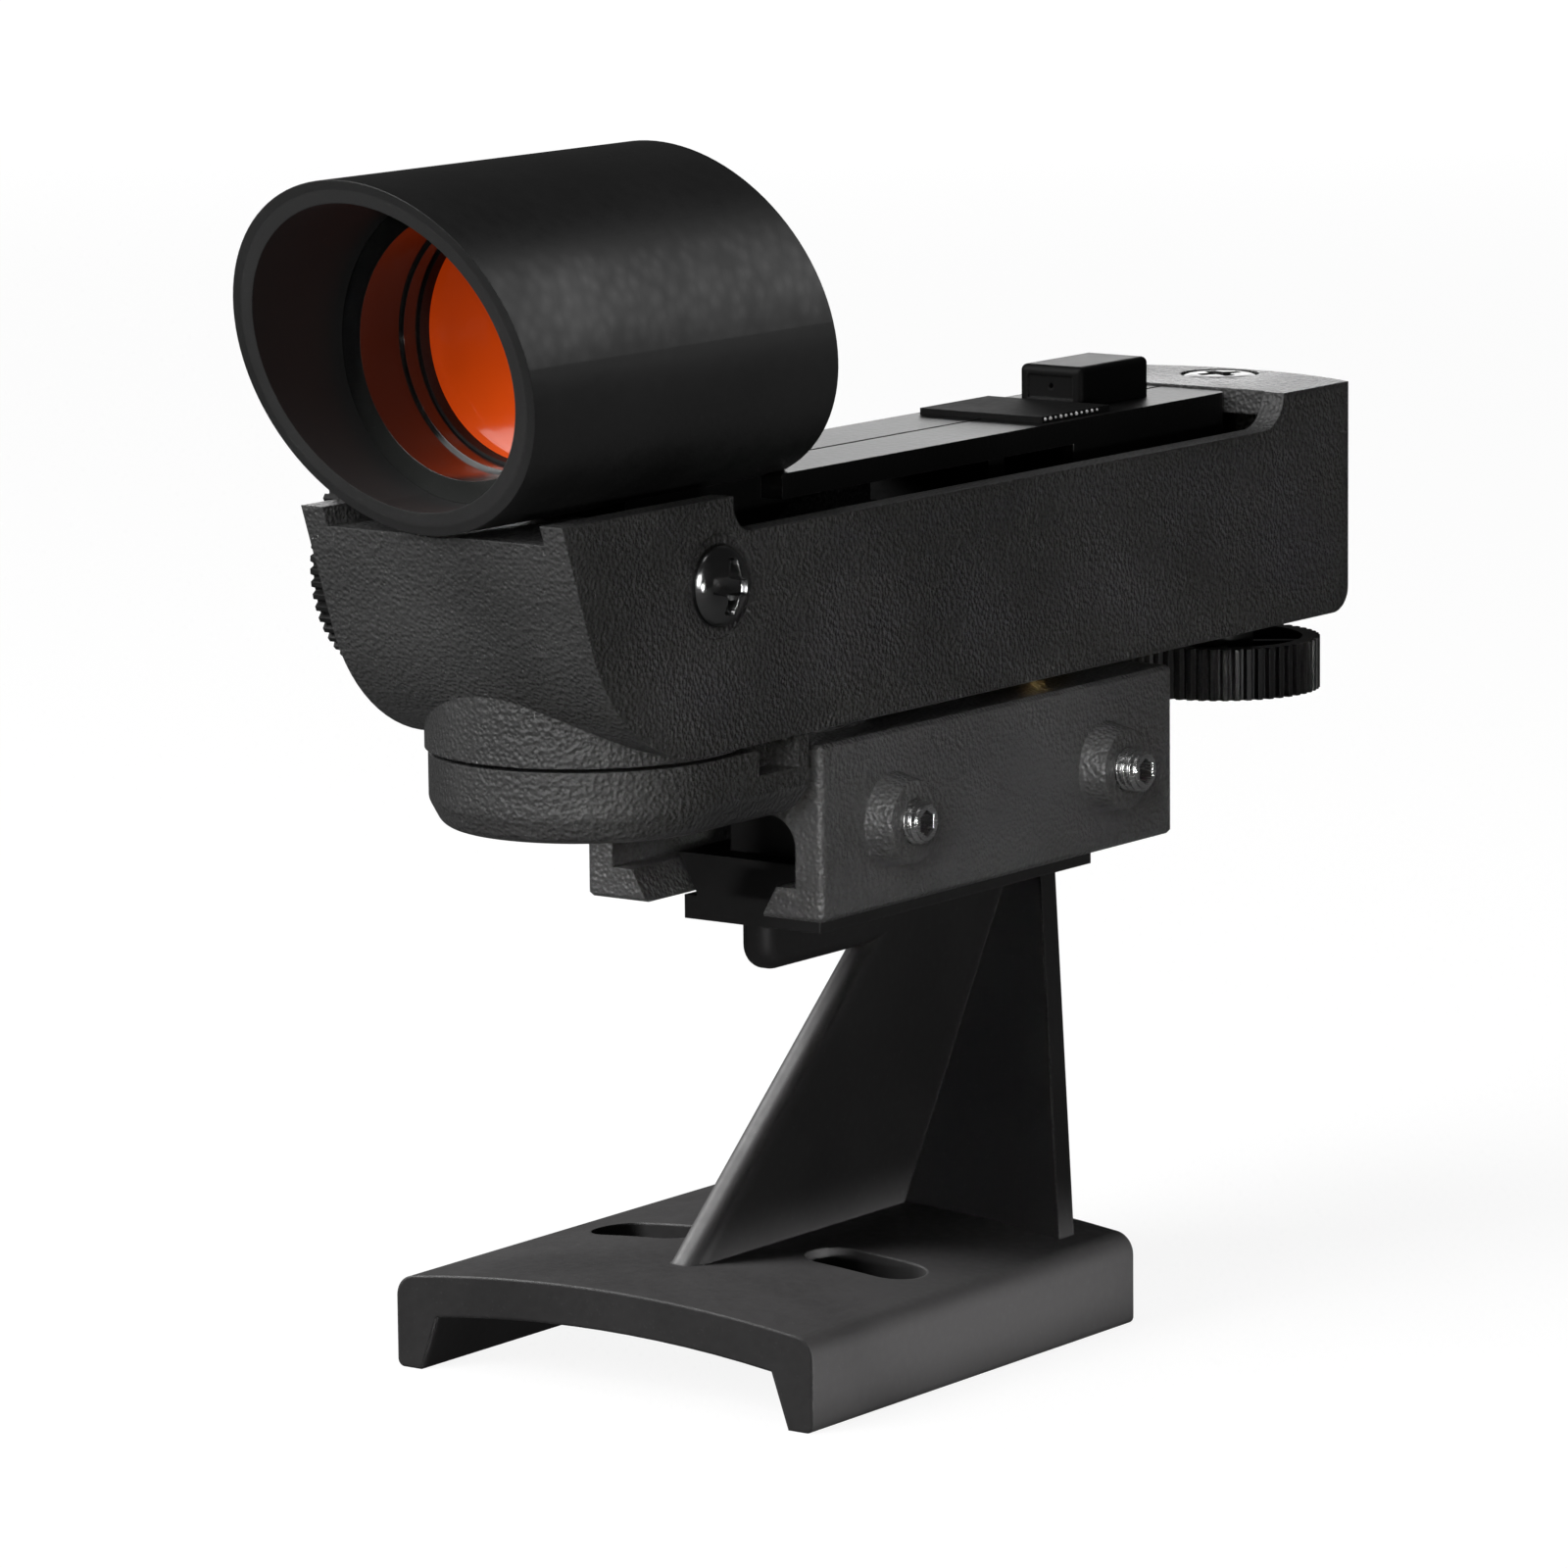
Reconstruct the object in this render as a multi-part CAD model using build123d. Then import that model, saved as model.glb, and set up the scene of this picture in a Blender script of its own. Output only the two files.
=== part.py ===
"""Red-dot finder scope: an illuminated reflex sight on a dovetail clamp and a saddle foot.

Frame: X across the sight, Y along the line of sight (the sky is toward -Y, the eye toward +Y), Z up.
The origin lies under the middle of the sight's length, on the plane of the foot's two runners.
All sizes are in millimetres and all angles in degrees.
"""

import os
from math import atan, cos, pi, sin, tan

from build123d import *

# --- overall ---------------------------------------------------------------------------------
HALF_LENGTH = 71.4  # the sight tube's front tip and the altitude wheel's rim are this far from the origin
FAR = 100.0  # past the part on every side, for a cut that goes right through
PAST = 1.0  # how far a cut runs past the surface that it opens
LAP = 0.5  # how far two joined shapes run into each other
SAME = 0.01  # two heights or widths closer than this are the same one
FIT = 0.05  # radial clearance of a shaft that turns in its bore
NEST = 0.02  # radial clearance between pieces that are assembled for good
THREAD = 4.0  # major diameter of every screw but the altitude screw

# --- saddle foot -----------------------------------------------------------------------------
FOOT_HALF_WIDTH = 22.9
FOOT_FRONT_Y, FOOT_REAR_Y = -38.0, 11.8
ARCH_HEIGHT = 6.2  # underside of the saddle at the middle
ARCH_RADIUS = 140.0
SADDLE_THICKNESS = 3.65
SADDLE_TOP_RADIUS = 159.0
RUNNER_INNER_X = 20.6  # inner edge of each runner where it stands on the ground
RUNNER_ROOT_X = 18.5  # inner edge of each runner where it meets the arch
SLOT_X, SLOT_Y = 12.0, -14.8  # centre of each slot, from the middle
SLOT_LENGTH, SLOT_WIDTH = 12.0, 6.0
FOOT_EDGE_R, RUNNER_EDGE_R = 2.0, 0.7

WEB_THICKNESS = 3.4
WEB_FOOT_Y, WEB_HEAD_Y = -26.5, 1.1  # front edge of the web at the saddle and under the ridge
RIDGE_BOTTOM_Z = 34.5
RIDGE_NOSE_R = 2.4
WEB_EDGE_R = 1.4
STAY_FRONT_Y = 5.8  # front face of the rear stay where it meets the saddle
STAY_LEAN = 0.598  # the stay goes back this much for each millimetre that it rises
STAY_DEPTH = 2.4  # along Y
STAY_FOOT_HALF, STAY_HEAD_HALF = 20.0, 5.2

# --- head of the foot: the male dovetail ------------------------------------------------------
HEAD_FRONT_Y, HEAD_REAR_Y = -15.0, 28.0
HEAD_PLATE_Z, HEAD_PLATE_TOP_Z = 38.7, 40.85
HEAD_PLATE_HALF = 7.5
TAIL_NECK_TOP_Z, TAIL_TOP_Z = 41.2, 44.7
TAIL_TOP_HALF, TAIL_NECK_HALF = 8.15, 6.15
STOP_RIB_HALF, STOP_RIB_TOP_Z = 4.5, 49.8  # the set screws press on this rib
STOP_RIB_FRONT_Y, STOP_RIB_REAR_Y = -12.0, 24.5

# --- dovetail clamp ---------------------------------------------------------------------------
CLAMP_HALF_WIDTH = 13.0
CLAMP_FRONT_Y, CLAMP_REAR_Y = -22.2, 33.5
CLAMP_BOTTOM_Z, CLAMP_TOP_Z = 41.3, 57.1
CHANNEL_HALF, CHANNEL_CEILING_Z = 10.1, 50.5
CHANNEL_CORNER = 2.8
CLAMP_CORNER_R, CLAMP_CHAMFER = 0.6, 0.35
JAW_TOP_Z = 44.15
JAW_TOP_HALF, JAW_LIP_HALF = 7.98, 6.38
SET_SCREW_Y = (-11.5, 22.2)
SET_SCREW_Z = 49.1
SET_SCREW_TIP_X = 4.9
SET_SCREW_END_X = (16.8, 17.6)
SET_SCREW_CHAMFER = 0.4
SOCKET_FLATS, SOCKET_DEPTH = 2.0, 2.2
BOSS_FOOT_R, BOSS_TOP_R, BOSS_HEIGHT = 4.35, 3.7, 2.5

# --- azimuth adjustment -----------------------------------------------------------------------
PIVOT_Y = -12.5  # the sight swings about a vertical screw here
AZIMUTH_Y, AZIMUTH_Z = 28.0, 53.8  # axis of the cross screw that swings it
AZIMUTH_SCREW_END_X = 8.6
AZIMUTH_KNOB_R, AZIMUTH_KNOB_RIBS = 8.0, 40
AZIMUTH_KNOB_INNER_X, AZIMUTH_KNOB_OUTER_X = -16.9, -22.0
AZIMUTH_NECK_R, AZIMUTH_NECK_END_X = 4.0, -13.3
AZIMUTH_KNOB_RIM, AZIMUTH_KNOB_DISH, AZIMUTH_KNOB_GRIP = 1.8, 0.8, 2.0
AZIMUTH_BLOCK_HALF_X, AZIMUTH_BLOCK_HALF_Y, AZIMUTH_BLOCK_BOTTOM_Z = 3.5, 3.0, 51.2
AZIMUTH_BLOCK_CHAMFER, AZIMUTH_BLOCK_PLAY = 0.5, 0.3
AZIMUTH_WINDOW_HALF_X, AZIMUTH_WINDOW_HALF_Y = 5.6, 3.6  # the opening in the clamp that the block hangs through
PIVOT_HEAD_R, PIVOT_HEAD_BOTTOM_Z, PIVOT_HEAD_TOP_Z = 3.5, 50.65, 52.8
PIVOT_SEAT_R, PIVOT_SEAT_Z = 3.8, 53.0
PIVOT_SOCKET_FLATS, PIVOT_SOCKET_DEPTH = 2.5, 1.45
PIVOT_END_Z = 64.1
WASHER_R, WASHER_BORE_R, WASHER_TOP_Z = 9.0, 2.2, 58.7

# --- housing ----------------------------------------------------------------------------------
HOUSING_HALF_WIDTH = 14.0
WALL = 2.35
HOUSING_BOTTOM_Z, HOUSING_TOP_Z = 58.8, 80.7
HOUSING_FRONT_Y = -60.0
HOUSING_CORNER_Y, HOUSING_REAR_Y = 62.5, 66.0  # the rear wall bows out between its corners
REAR_WALL = 1.4
FLOOR = 2.5
PROW_SLANT = 0.356  # the prow and both tube ends go back this much for each millimetre down
PROW_ANGLE = atan(PROW_SLANT)
PROW_RADIUS = 16.5
FRONT_DECK_Z, FRONT_DECK_END_Y = 79.0, -43.5
DECK_THICKNESS = 2.3
REAR_DECK_Y = 51.9
SILL_Z = 77.45  # top of the low side walls
SILL_FRONT_Y, SILL_REAR_Y = -36.0, 51.2
SILL_FRONT_RADIUS, SILL_REAR_RADIUS = 2.7, 3.5
BOSS_Y, BOSS_R, BOSS_BOTTOM_Z, BOSS_TOP_Z = -39.0, 13.95, 58.55, 65.8  # round battery boss under the prow
REAR_EDGE_R = 2.3
HEAD_SPOT_R, HEAD_SPOT_DEPTH = 4.6, 0.3  # the shallow seat of the hinge screw's head
TUBE_RELIEF = 0.35  # the front deck is scooped out under the sight tube by this much

# --- battery cover ----------------------------------------------------------------------------
COVER_R = 13.65
COVER_REAR_Y = -24.9
COVER_TOP_Z, COVER_SHOULDER_Z, COVER_BOTTOM_Z = 58.15, 54.1, 51.7
COVER_BOTTOM_R = 12.4
COVER_WALL, COVER_FLOOR, COVER_EDGE_R = 1.7, 1.8, 1.6
NOTCH_FRONT_Y, NOTCH_REAR_Y, NOTCH_Z, NOTCH_DEPTH = -32.2, -26.5, 55.9, 2.9
HOOK_BOTTOM_Z, HOOK_TOP_Z = 57.15, 58.7
CELL_R, CELL_HEIGHT = 10.0, 3.2
CELL_RIM, CELL_STEP = 1.4, 0.4
CONTACT_HALF_WIDTH, CONTACT_HALF_LENGTH, CONTACT_GAUGE = 2.0, 6.0, 0.3
CONTACT_Z = 57.05

# --- brightness dial --------------------------------------------------------------------------
DIAL_Y, DIAL_Z = -45.5, 74.5
DIAL_R, DIAL_RIBS = 10.05, 56
DIAL_INNER_X, DIAL_OUTER_X = -14.3, -16.8
DIAL_RIM, DIAL_DISH = 2.2, 0.6
DIAL_AXLE_R, DIAL_AXLE_END_X = 1.5, -10.05
DIMMER_HALF, DIMMER_TOP, DIMMER_DEPTH, DIMMER_BORE = 3.2, 1.9, 3.2, 2.0
BOARD_HALF_WIDTH, BOARD_FRONT_Y, BOARD_REAR_Y, BOARD_GAUGE = 8.0, -4.0, 14.0, 1.2
CHIP_HALF_WIDTH, CHIP_FRONT_Y, CHIP_REAR_Y, CHIP_HEIGHT = 3.0, 1.0, 6.0, 1.2

# --- carriage: hinge, rail and sight tube ------------------------------------------------------
HINGE_Y, HINGE_Z = -38.1, 73.25
HINGE_R = 4.5
RAIL_HALF, RAIL_TOP_Z, RAIL_THICKNESS = 7.78, 80.5, 2.25
RAIL_FRONT_Y, RAIL_REAR_Y = -20.4, 51.2
RAIL_CORNER_R, RAIL_GROOVE_HALF, RAIL_GROOVE_DEPTH = 1.5, 0.2, 0.25
BLOCK_FRONT_Y, BLOCK_BOTTOM_Z = 25.1, 68.2
BLOCK_WALL, BLOCK_REAR_WALL = 1.6, 2.5
RAIL_RIB_HALF, RAIL_RIB_Y, RAIL_RIB_DEPTH, RAIL_RIB_Z = 6.58, 13.0, 2.5, 73.5  # a stiffening rib under the rail
NECK_HALF, NECK_BOTTOM_Z, NECK_TOP_Z = 5.5, 69.5, 83.15
NECK_FRONT_Y, NECK_REAR_Y, NECK_TURN_Y = -40.1, -14.4, -30.1
NECK_CUT_Y, NECK_REAR_Z, NECK_SLOPE_Z = -19.9, 78.5, 74.5
TONGUE_HALF, TONGUE_TOP_Z = 5.0, 73.4
SPACER_R, SPACER_GAP = 3.3, 0.3
TUBE_Z = 94.55
TUBE_R, TUBE_BORE_R = 15.4, 13.4
TUBE_REAR_Y = -23.1  # where the rear end crosses the axis
LENS_SEAT_Y = -43.0
LENS_SEAT_R, LENS_SEAT_DEPTH = 11.4, 2.0
LENS_DEPTH, GASKET_DEPTH, SPACER_DEPTH, RETAINER_DEPTH = 3.0, 1.3, 1.9, 5.6
RETAINER_BORE_R, SPACER_BORE_R, GASKET_BORE_R = 11.43, 11.15, 10.9
LENS_HOLLOW_RADIUS, LENS_HOLLOW_DROP, LENS_HOLLOW_DEPTH, LENS_HOLLOW_R = 158.0, 12.0, 0.9, 11.2

# --- altitude adjustment ------------------------------------------------------------------------
ALTITUDE_Y = 61.6
ALTITUDE_SCREW_R = 1.5
ALTITUDE_HEAD_HEIGHT, ALTITUDE_HEAD_CROWN = 1.0, 0.7
ALTITUDE_END_Z = 50.65
HEAD_SINK = 1.0  # the altitude screw's head lies this deep in the deck
WHEEL_R, WHEEL_RIBS = 9.65, 52
WHEEL_TOP_Z, WHEEL_BOTTOM_Z = 55.3, 50.35
WHEEL_RIM, WHEEL_TOP_DISH, WHEEL_BOTTOM_DISH = 1.7, 2.6, 0.8
HUB_R, HUB_TOP_Z = 3.2, 58.3
SPOKES, SPOKE_TURN, SPOKE_HALF, SPOKE_TOP_Z, SPOKE_BOTTOM_Z = 4, 36.0, 0.5, 54.8, 52.6
SLIP_WASHER_R, SLIP_WASHER_GAUGE = 3.5, 0.4
NUT_HALF, NUT_FRONT_Y, NUT_REAR_WALL, NUT_CLEARANCE = 3.0, 57.6, 0.55, 0.15
NUT_REAR_Y = ALTITUDE_Y + ALTITUDE_SCREW_R + NUT_CLEARANCE + NUT_REAR_WALL
TONGUE_REAR_Y = NUT_REAR_Y - 0.6
SPRING_COILS, SPRING_WIRE_R, SPRING_PLAY = 4, 0.25, 0.6

# --- small hardware ----------------------------------------------------------------------------
PAN_HEAD_R, PAN_HEAD_HEIGHT, PAN_HEAD_CROWN = 3.7, 2.0, 1.3
NUT_FLATS, NUT_HEIGHT = 7.0, 2.4

RECESS_SPAN, RECESS_DEPTH = 1.3, 0.75  # the cross slot's span by the head's radius, and its depth by the height
RECESS_WIDTH, RECESS_FLOOR_SPAN, RECESS_FLOOR_WIDTH = 0.3, 0.5, 0.18  # shares of the slot's span
RIB_DEPTH = 0.45

# --- emitter on the rail --------------------------------------------------------------------------
PAD_FRONT_Y, PAD_REAR_Y, PAD_HALF, PAD_THICKNESS = 21.3, 32.4, 6.8, 0.6
HOOD_FRONT_Y, HOOD_REAR_Y, HOOD_HALF, HOOD_TOP_Z = 32.7, 44.1, 3.5, 84.3
HOOD_WALL, HOOD_FRONT_WALL, HOOD_EDGE_R = 0.8, 1.2, 0.6
WINDOW_HALF, WINDOW_BOTTOM_Z, WINDOW_TOP_Z, WINDOW_DEPTH = 2.5, 81.2, 83.4, 0.15
PINHOLE_R = 0.25
EMITTER_BOARD_HALF, EMITTER_BOARD_Y, EMITTER_BOARD_GAUGE, EMITTER_BOARD_HEIGHT = 2.4, 35.3, 0.8, 2.7
EMITTER_HALF, EMITTER_DEPTH, EMITTER_HALF_HEIGHT = 0.8, 1.0, 0.5

# --- sizes that follow from the ones above -----------------------------------------------------------
SHAFT_R = THREAD / 2
INNER_HALF = HOUSING_HALF_WIDTH - WALL  # inner face of each housing wall
FLOOR_Z = HOUSING_BOTTOM_Z + FLOOR
PIVOT_HEAD_X = HOUSING_HALF_WIDTH - HEAD_SPOT_DEPTH
CELL_SEAT_Z = COVER_BOTTOM_Z + COVER_FLOOR
TUBE_FRONT_Y = -HALF_LENGTH + PROW_SLANT * TUBE_R  # where the tube's front end crosses the axis
CRADLE_REAR_Y = TUBE_REAR_Y + PROW_SLANT * TUBE_R  # the tube's rearmost point, at its underside
LENS_FRONT_Y = LENS_SEAT_Y - LENS_DEPTH
GASKET_FRONT_Y = LENS_FRONT_Y - GASKET_DEPTH
SPACER_FRONT_Y = GASKET_FRONT_Y - SPACER_DEPTH
RETAINER_FRONT_Y = SPACER_FRONT_Y - RETAINER_DEPTH
PINHOLE_Z = (RAIL_TOP_Z + HOOD_TOP_Z) / 2


def block(x0, x1, y0, y1, z0, z1):
    """A box between two corners."""
    return Pos((x0 + x1) / 2, (y0 + y1) / 2, (z0 + z1) / 2) * Box(x1 - x0, y1 - y0, z1 - z0)


def rod_x(radius, x0, x1, y, z):
    """A cylinder along X."""
    return Pos((x0 + x1) / 2, y, z) * Rot(0, 90, 0) * Cylinder(radius, abs(x1 - x0))


def rod_y(radius, y0, y1, x, z):
    """A cylinder along Y."""
    return Pos(x, (y0 + y1) / 2, z) * Rot(90, 0, 0) * Cylinder(radius, abs(y1 - y0))


def rod_z(radius, z0, z1, x, y):
    """A cylinder along Z."""
    return Pos(x, y, (z0 + z1) / 2) * Cylinder(radius, abs(z1 - z0))


def side_prism(points, half_width, centre_x=0.0):
    """A side outline of (y, z) points, carried across X."""
    face = Plane.YZ * make_face(Polyline(*points, close=True))
    return Pos(centre_x - half_width, 0, 0) * extrude(face, amount=2 * half_width, dir=(1, 0, 0))


def front_prism(points, y0, y1):
    """A front outline of (x, z) points, carried along Y."""
    face = Plane.XZ * make_face(Polyline(*points, close=True))
    return Pos(0, y0, 0) * extrude(face, amount=y1 - y0, dir=(0, 1, 0))


def mirrored(half):
    """The closed outline whose right half is given from the middle outward and back."""
    return half + [(-x, z) for x, z in reversed(half) if x != 0]


def hexagon_prism(flats, height):
    """A hexagonal prism about Z, from 0 up, with two flats facing X."""
    return extrude(Rot(0, 0, 90) * RegularPolygon(flats / 2, 6, major_radius=False), amount=height)


def hex_nut(bore):
    """A plain nut about Z, from 0 up."""
    return hexagon_prism(NUT_FLATS, NUT_HEIGHT) - rod_z(bore, -PAST, NUT_HEIGHT + PAST, 0, 0)


def ribbed_disc(radius, ribs, height):
    """A disc about Z, from 0 up, with upright ribs round its rim."""
    points = []
    pitch = 2 * pi / ribs
    for i in range(ribs):
        for share, r in ((0.0, radius), (0.4, radius), (0.6, radius - RIB_DEPTH), (0.8, radius - RIB_DEPTH)):
            angle = (i + share) * pitch
            points.append((r * cos(angle), r * sin(angle)))
    return extrude(make_face(Polyline(*points, close=True)), amount=height)


def cross_recess(span, depth):
    """The tapered cross slot of a screw head whose top is at Z = 0."""
    top = Rectangle(span, span * RECESS_WIDTH)
    bottom = Pos(0, 0, -depth) * Rectangle(span * RECESS_FLOOR_SPAN, span * RECESS_FLOOR_WIDTH)
    wing = loft([top.face(), bottom.face()])
    return wing + Rot(0, 0, 90) * wing


def pan_head(radius, height, crown):
    """A screw head about Z, from 0 up, with a rounded rim and a cross slot in its top."""
    head = rod_z(radius, 0, height, 0, 0)
    head = fillet(head.edges().filter_by(GeomType.CIRCLE).sort_by(Axis.Z)[-1], crown)
    return head - Pos(0, 0, height) * cross_recess(radius * RECESS_SPAN, height * RECESS_DEPTH)


def front_y_at(z):
    """Where the slanted prow face lies at this height."""
    return HOUSING_FRONT_Y + PROW_SLANT * (HOUSING_TOP_Z - z)


# --- saddle foot --------------------------------------------------------------------------------
def make_saddle():
    """The curved plate on two runners, with its two slots."""
    crown_z = ARCH_HEIGHT + SADDLE_THICKNESS
    plate = block(-FOOT_HALF_WIDTH, FOOT_HALF_WIDTH, FOOT_FRONT_Y, FOOT_REAR_Y, 0, crown_z + PAST)
    plate = plate & rod_y(SADDLE_TOP_RADIUS, -FAR, FAR, 0, crown_z - SADDLE_TOP_RADIUS)
    root_z = ARCH_HEIGHT - ARCH_RADIUS + (ARCH_RADIUS**2 - RUNNER_ROOT_X**2) ** 0.5
    plate -= block(-RUNNER_ROOT_X, RUNNER_ROOT_X, -FAR, FAR, 0, crown_z) & rod_y(
        ARCH_RADIUS, -FAR, FAR, 0, ARCH_HEIGHT - ARCH_RADIUS)
    between = [(RUNNER_INNER_X, -PAST), (RUNNER_ROOT_X, root_z)]
    plate -= front_prism(mirrored(between), -FAR, FAR)
    edges = [e for e in plate.edges().filter_by(Axis.Y) if abs(abs(e.center().X) - FOOT_HALF_WIDTH) < SAME]
    plate = fillet([e for e in edges if e.center().Z > SAME], FOOT_EDGE_R)
    edges = [e for e in plate.edges().filter_by(Axis.Y) if abs(abs(e.center().X) - FOOT_HALF_WIDTH) < SAME]
    plate = fillet([e for e in edges if e.center().Z < SAME], RUNNER_EDGE_R)
    slot = SlotOverall(SLOT_LENGTH, SLOT_WIDTH)
    for side in (-1, 1):
        plate -= Pos(side * SLOT_X, SLOT_Y, -PAST) * extrude(slot, amount=FAR)
    return plate


def make_web():
    """The upright rib with its slanted, rounded front edge and the round-nosed ridge under the head."""
    half = WEB_THICKNESS / 2
    low_z, high_z = ARCH_HEIGHT + PAST, HEAD_PLATE_Z + LAP
    slope = (WEB_HEAD_Y - WEB_FOOT_Y) / (RIDGE_BOTTOM_Z - ARCH_HEIGHT - SADDLE_THICKNESS)
    outline = [(WEB_HEAD_Y - slope * (RIDGE_BOTTOM_Z - low_z), low_z), (WEB_HEAD_Y, RIDGE_BOTTOM_Z),
               (HEAD_FRONT_Y, RIDGE_BOTTOM_Z), (HEAD_FRONT_Y, high_z), (stay_y(high_z) + LAP, high_z),
               (stay_y(low_z) + LAP, low_z)]
    web = side_prism(outline, half)
    nose = [e for e in web.edges().filter_by(Axis.X) if abs(e.center().Y - HEAD_FRONT_Y) < SAME
            and e.center().Z < RIDGE_BOTTOM_Z + SAME]
    web = fillet(nose, RIDGE_NOSE_R)
    front = [e for e in web.edges() if abs(abs(e.center().X) - half) < SAME
             and e.center().Y < WEB_HEAD_Y and e.center().Z < HEAD_PLATE_Z]
    return fillet(front, WEB_EDGE_R)


def stay_y(z):
    """Front face of the leaning rear stay at this height."""
    return STAY_FRONT_Y + STAY_LEAN * (z - ARCH_HEIGHT - SADDLE_THICKNESS)


def make_stay():
    """The leaning rear plate, wide at the saddle and narrow at the head."""
    low_z, high_z = ARCH_HEIGHT + PAST, HEAD_PLATE_Z + LAP
    side = side_prism([(stay_y(low_z), low_z), (stay_y(low_z) + STAY_DEPTH, low_z),
                       (stay_y(high_z) + STAY_DEPTH, high_z), (stay_y(high_z), high_z)], FAR)
    taper = (STAY_FOOT_HALF - STAY_HEAD_HALF) / (HEAD_PLATE_Z - low_z)
    high_half = STAY_FOOT_HALF - taper * (high_z - low_z)
    front = [(STAY_FOOT_HALF, low_z), (high_half, high_z)]
    return side & front_prism(mirrored(front), -FAR, FAR)


def make_head():
    """The head plate, the male dovetail on it and the rib that the set screws press on."""
    head = block(-HEAD_PLATE_HALF, HEAD_PLATE_HALF, HEAD_FRONT_Y, HEAD_REAR_Y, HEAD_PLATE_Z, HEAD_PLATE_TOP_Z)
    tail = [(TAIL_NECK_HALF, HEAD_PLATE_TOP_Z - LAP), (TAIL_NECK_HALF, TAIL_NECK_TOP_Z), (TAIL_TOP_HALF, TAIL_TOP_Z)]
    head += front_prism(mirrored(tail), HEAD_FRONT_Y, HEAD_REAR_Y)
    head += block(-STOP_RIB_HALF, STOP_RIB_HALF, STOP_RIB_FRONT_Y, STOP_RIB_REAR_Y, TAIL_TOP_Z - LAP, STOP_RIB_TOP_Z)
    return head


def make_saddle_bracket():
    """The whole foot: one moulding."""
    return make_saddle() + make_web() + make_stay() + make_head()


# --- dovetail clamp --------------------------------------------------------------------------------
def make_dovetail_clamp():
    """The U-shaped clamp with its two jaws and the two bosses for the set screws."""
    body = block(-CLAMP_HALF_WIDTH, CLAMP_HALF_WIDTH, CLAMP_FRONT_Y, CLAMP_REAR_Y, CLAMP_BOTTOM_Z, CLAMP_TOP_Z)
    body = fillet(body.edges().filter_by(Axis.Z), CLAMP_CORNER_R)
    body = chamfer(body.edges().filter_by(Axis.Y), CLAMP_CHAMFER)
    channel = block(-CHANNEL_HALF, CHANNEL_HALF, -FAR, FAR, JAW_TOP_Z, CHANNEL_CEILING_Z)
    corners = [e for e in channel.edges().filter_by(Axis.Y) if e.center().Z > JAW_TOP_Z + SAME]
    body -= fillet(corners, CHANNEL_CORNER)
    slope = (JAW_TOP_HALF - JAW_LIP_HALF) / (JAW_TOP_Z - CLAMP_BOTTOM_Z)
    mouth = [(JAW_LIP_HALF - slope * PAST, CLAMP_BOTTOM_Z - PAST), (JAW_TOP_HALF, JAW_TOP_Z),
             (JAW_TOP_HALF, JAW_TOP_Z + LAP)]
    body -= front_prism(mirrored(mouth), -FAR, FAR)
    cone_height = BOSS_HEIGHT + LAP
    for y in SET_SCREW_Y:
        seat = Pos(CLAMP_HALF_WIDTH - LAP, y, SET_SCREW_Z) * Rot(0, 90, 0)
        body += seat * Pos(0, 0, cone_height / 2) * Cone(BOSS_FOOT_R, BOSS_TOP_R, cone_height)
        body -= rod_x(SHAFT_R + FIT, 0, FAR, y, SET_SCREW_Z)
    body -= rod_z(SHAFT_R + FIT, CHANNEL_CEILING_Z - PAST, CLAMP_TOP_Z + PAST, 0, PIVOT_Y)
    body -= rod_z(PIVOT_SEAT_R, CHANNEL_CEILING_Z - PAST, PIVOT_SEAT_Z, 0, PIVOT_Y)
    body -= rod_x(SHAFT_R + FIT, -FAR, AZIMUTH_SCREW_END_X + LAP, AZIMUTH_Y, AZIMUTH_Z)
    return body - block(-AZIMUTH_WINDOW_HALF_X, AZIMUTH_WINDOW_HALF_X, AZIMUTH_Y - AZIMUTH_WINDOW_HALF_Y,
                        AZIMUTH_Y + AZIMUTH_WINDOW_HALF_Y, CHANNEL_CEILING_Z - PAST, CLAMP_TOP_Z + PAST)


def make_set_screw(index):
    """A socket set screw along X with a hexagonal socket in its outer end."""
    y, end_x = SET_SCREW_Y[index], SET_SCREW_END_X[index]
    screw = rod_x(SHAFT_R, SET_SCREW_TIP_X, end_x, y, SET_SCREW_Z)
    screw = chamfer(screw.edges().filter_by(GeomType.CIRCLE), SET_SCREW_CHAMFER)
    socket = hexagon_prism(SOCKET_FLATS, SOCKET_DEPTH + PAST)
    return screw - Pos(end_x - SOCKET_DEPTH, y, SET_SCREW_Z) * Rot(0, 90, 0) * socket


# --- azimuth adjustment -------------------------------------------------------------------------------
def make_azimuth_washer():
    """The friction washer between the clamp and the housing."""
    washer = rod_z(WASHER_R, CLAMP_TOP_Z, WASHER_TOP_Z, 0, PIVOT_Y)
    return washer - rod_z(WASHER_BORE_R, 0, FAR, 0, PIVOT_Y)


def make_azimuth_pivot_screw():
    """The low-headed screw that the sight swings about."""
    head = rod_z(PIVOT_HEAD_R, PIVOT_HEAD_BOTTOM_Z, PIVOT_HEAD_TOP_Z, 0, PIVOT_Y)
    socket = hexagon_prism(PIVOT_SOCKET_FLATS, PIVOT_SOCKET_DEPTH + PAST)
    head -= Pos(0, PIVOT_Y, PIVOT_HEAD_BOTTOM_Z - PAST) * socket
    return head + rod_z(SHAFT_R, PIVOT_HEAD_TOP_Z - SAME, PIVOT_END_Z, 0, PIVOT_Y)


def make_azimuth_nut():
    """The nut of the pivot screw, on the housing's floor."""
    return Pos(0, PIVOT_Y, FLOOR_Z) * hex_nut(SHAFT_R)


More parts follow.
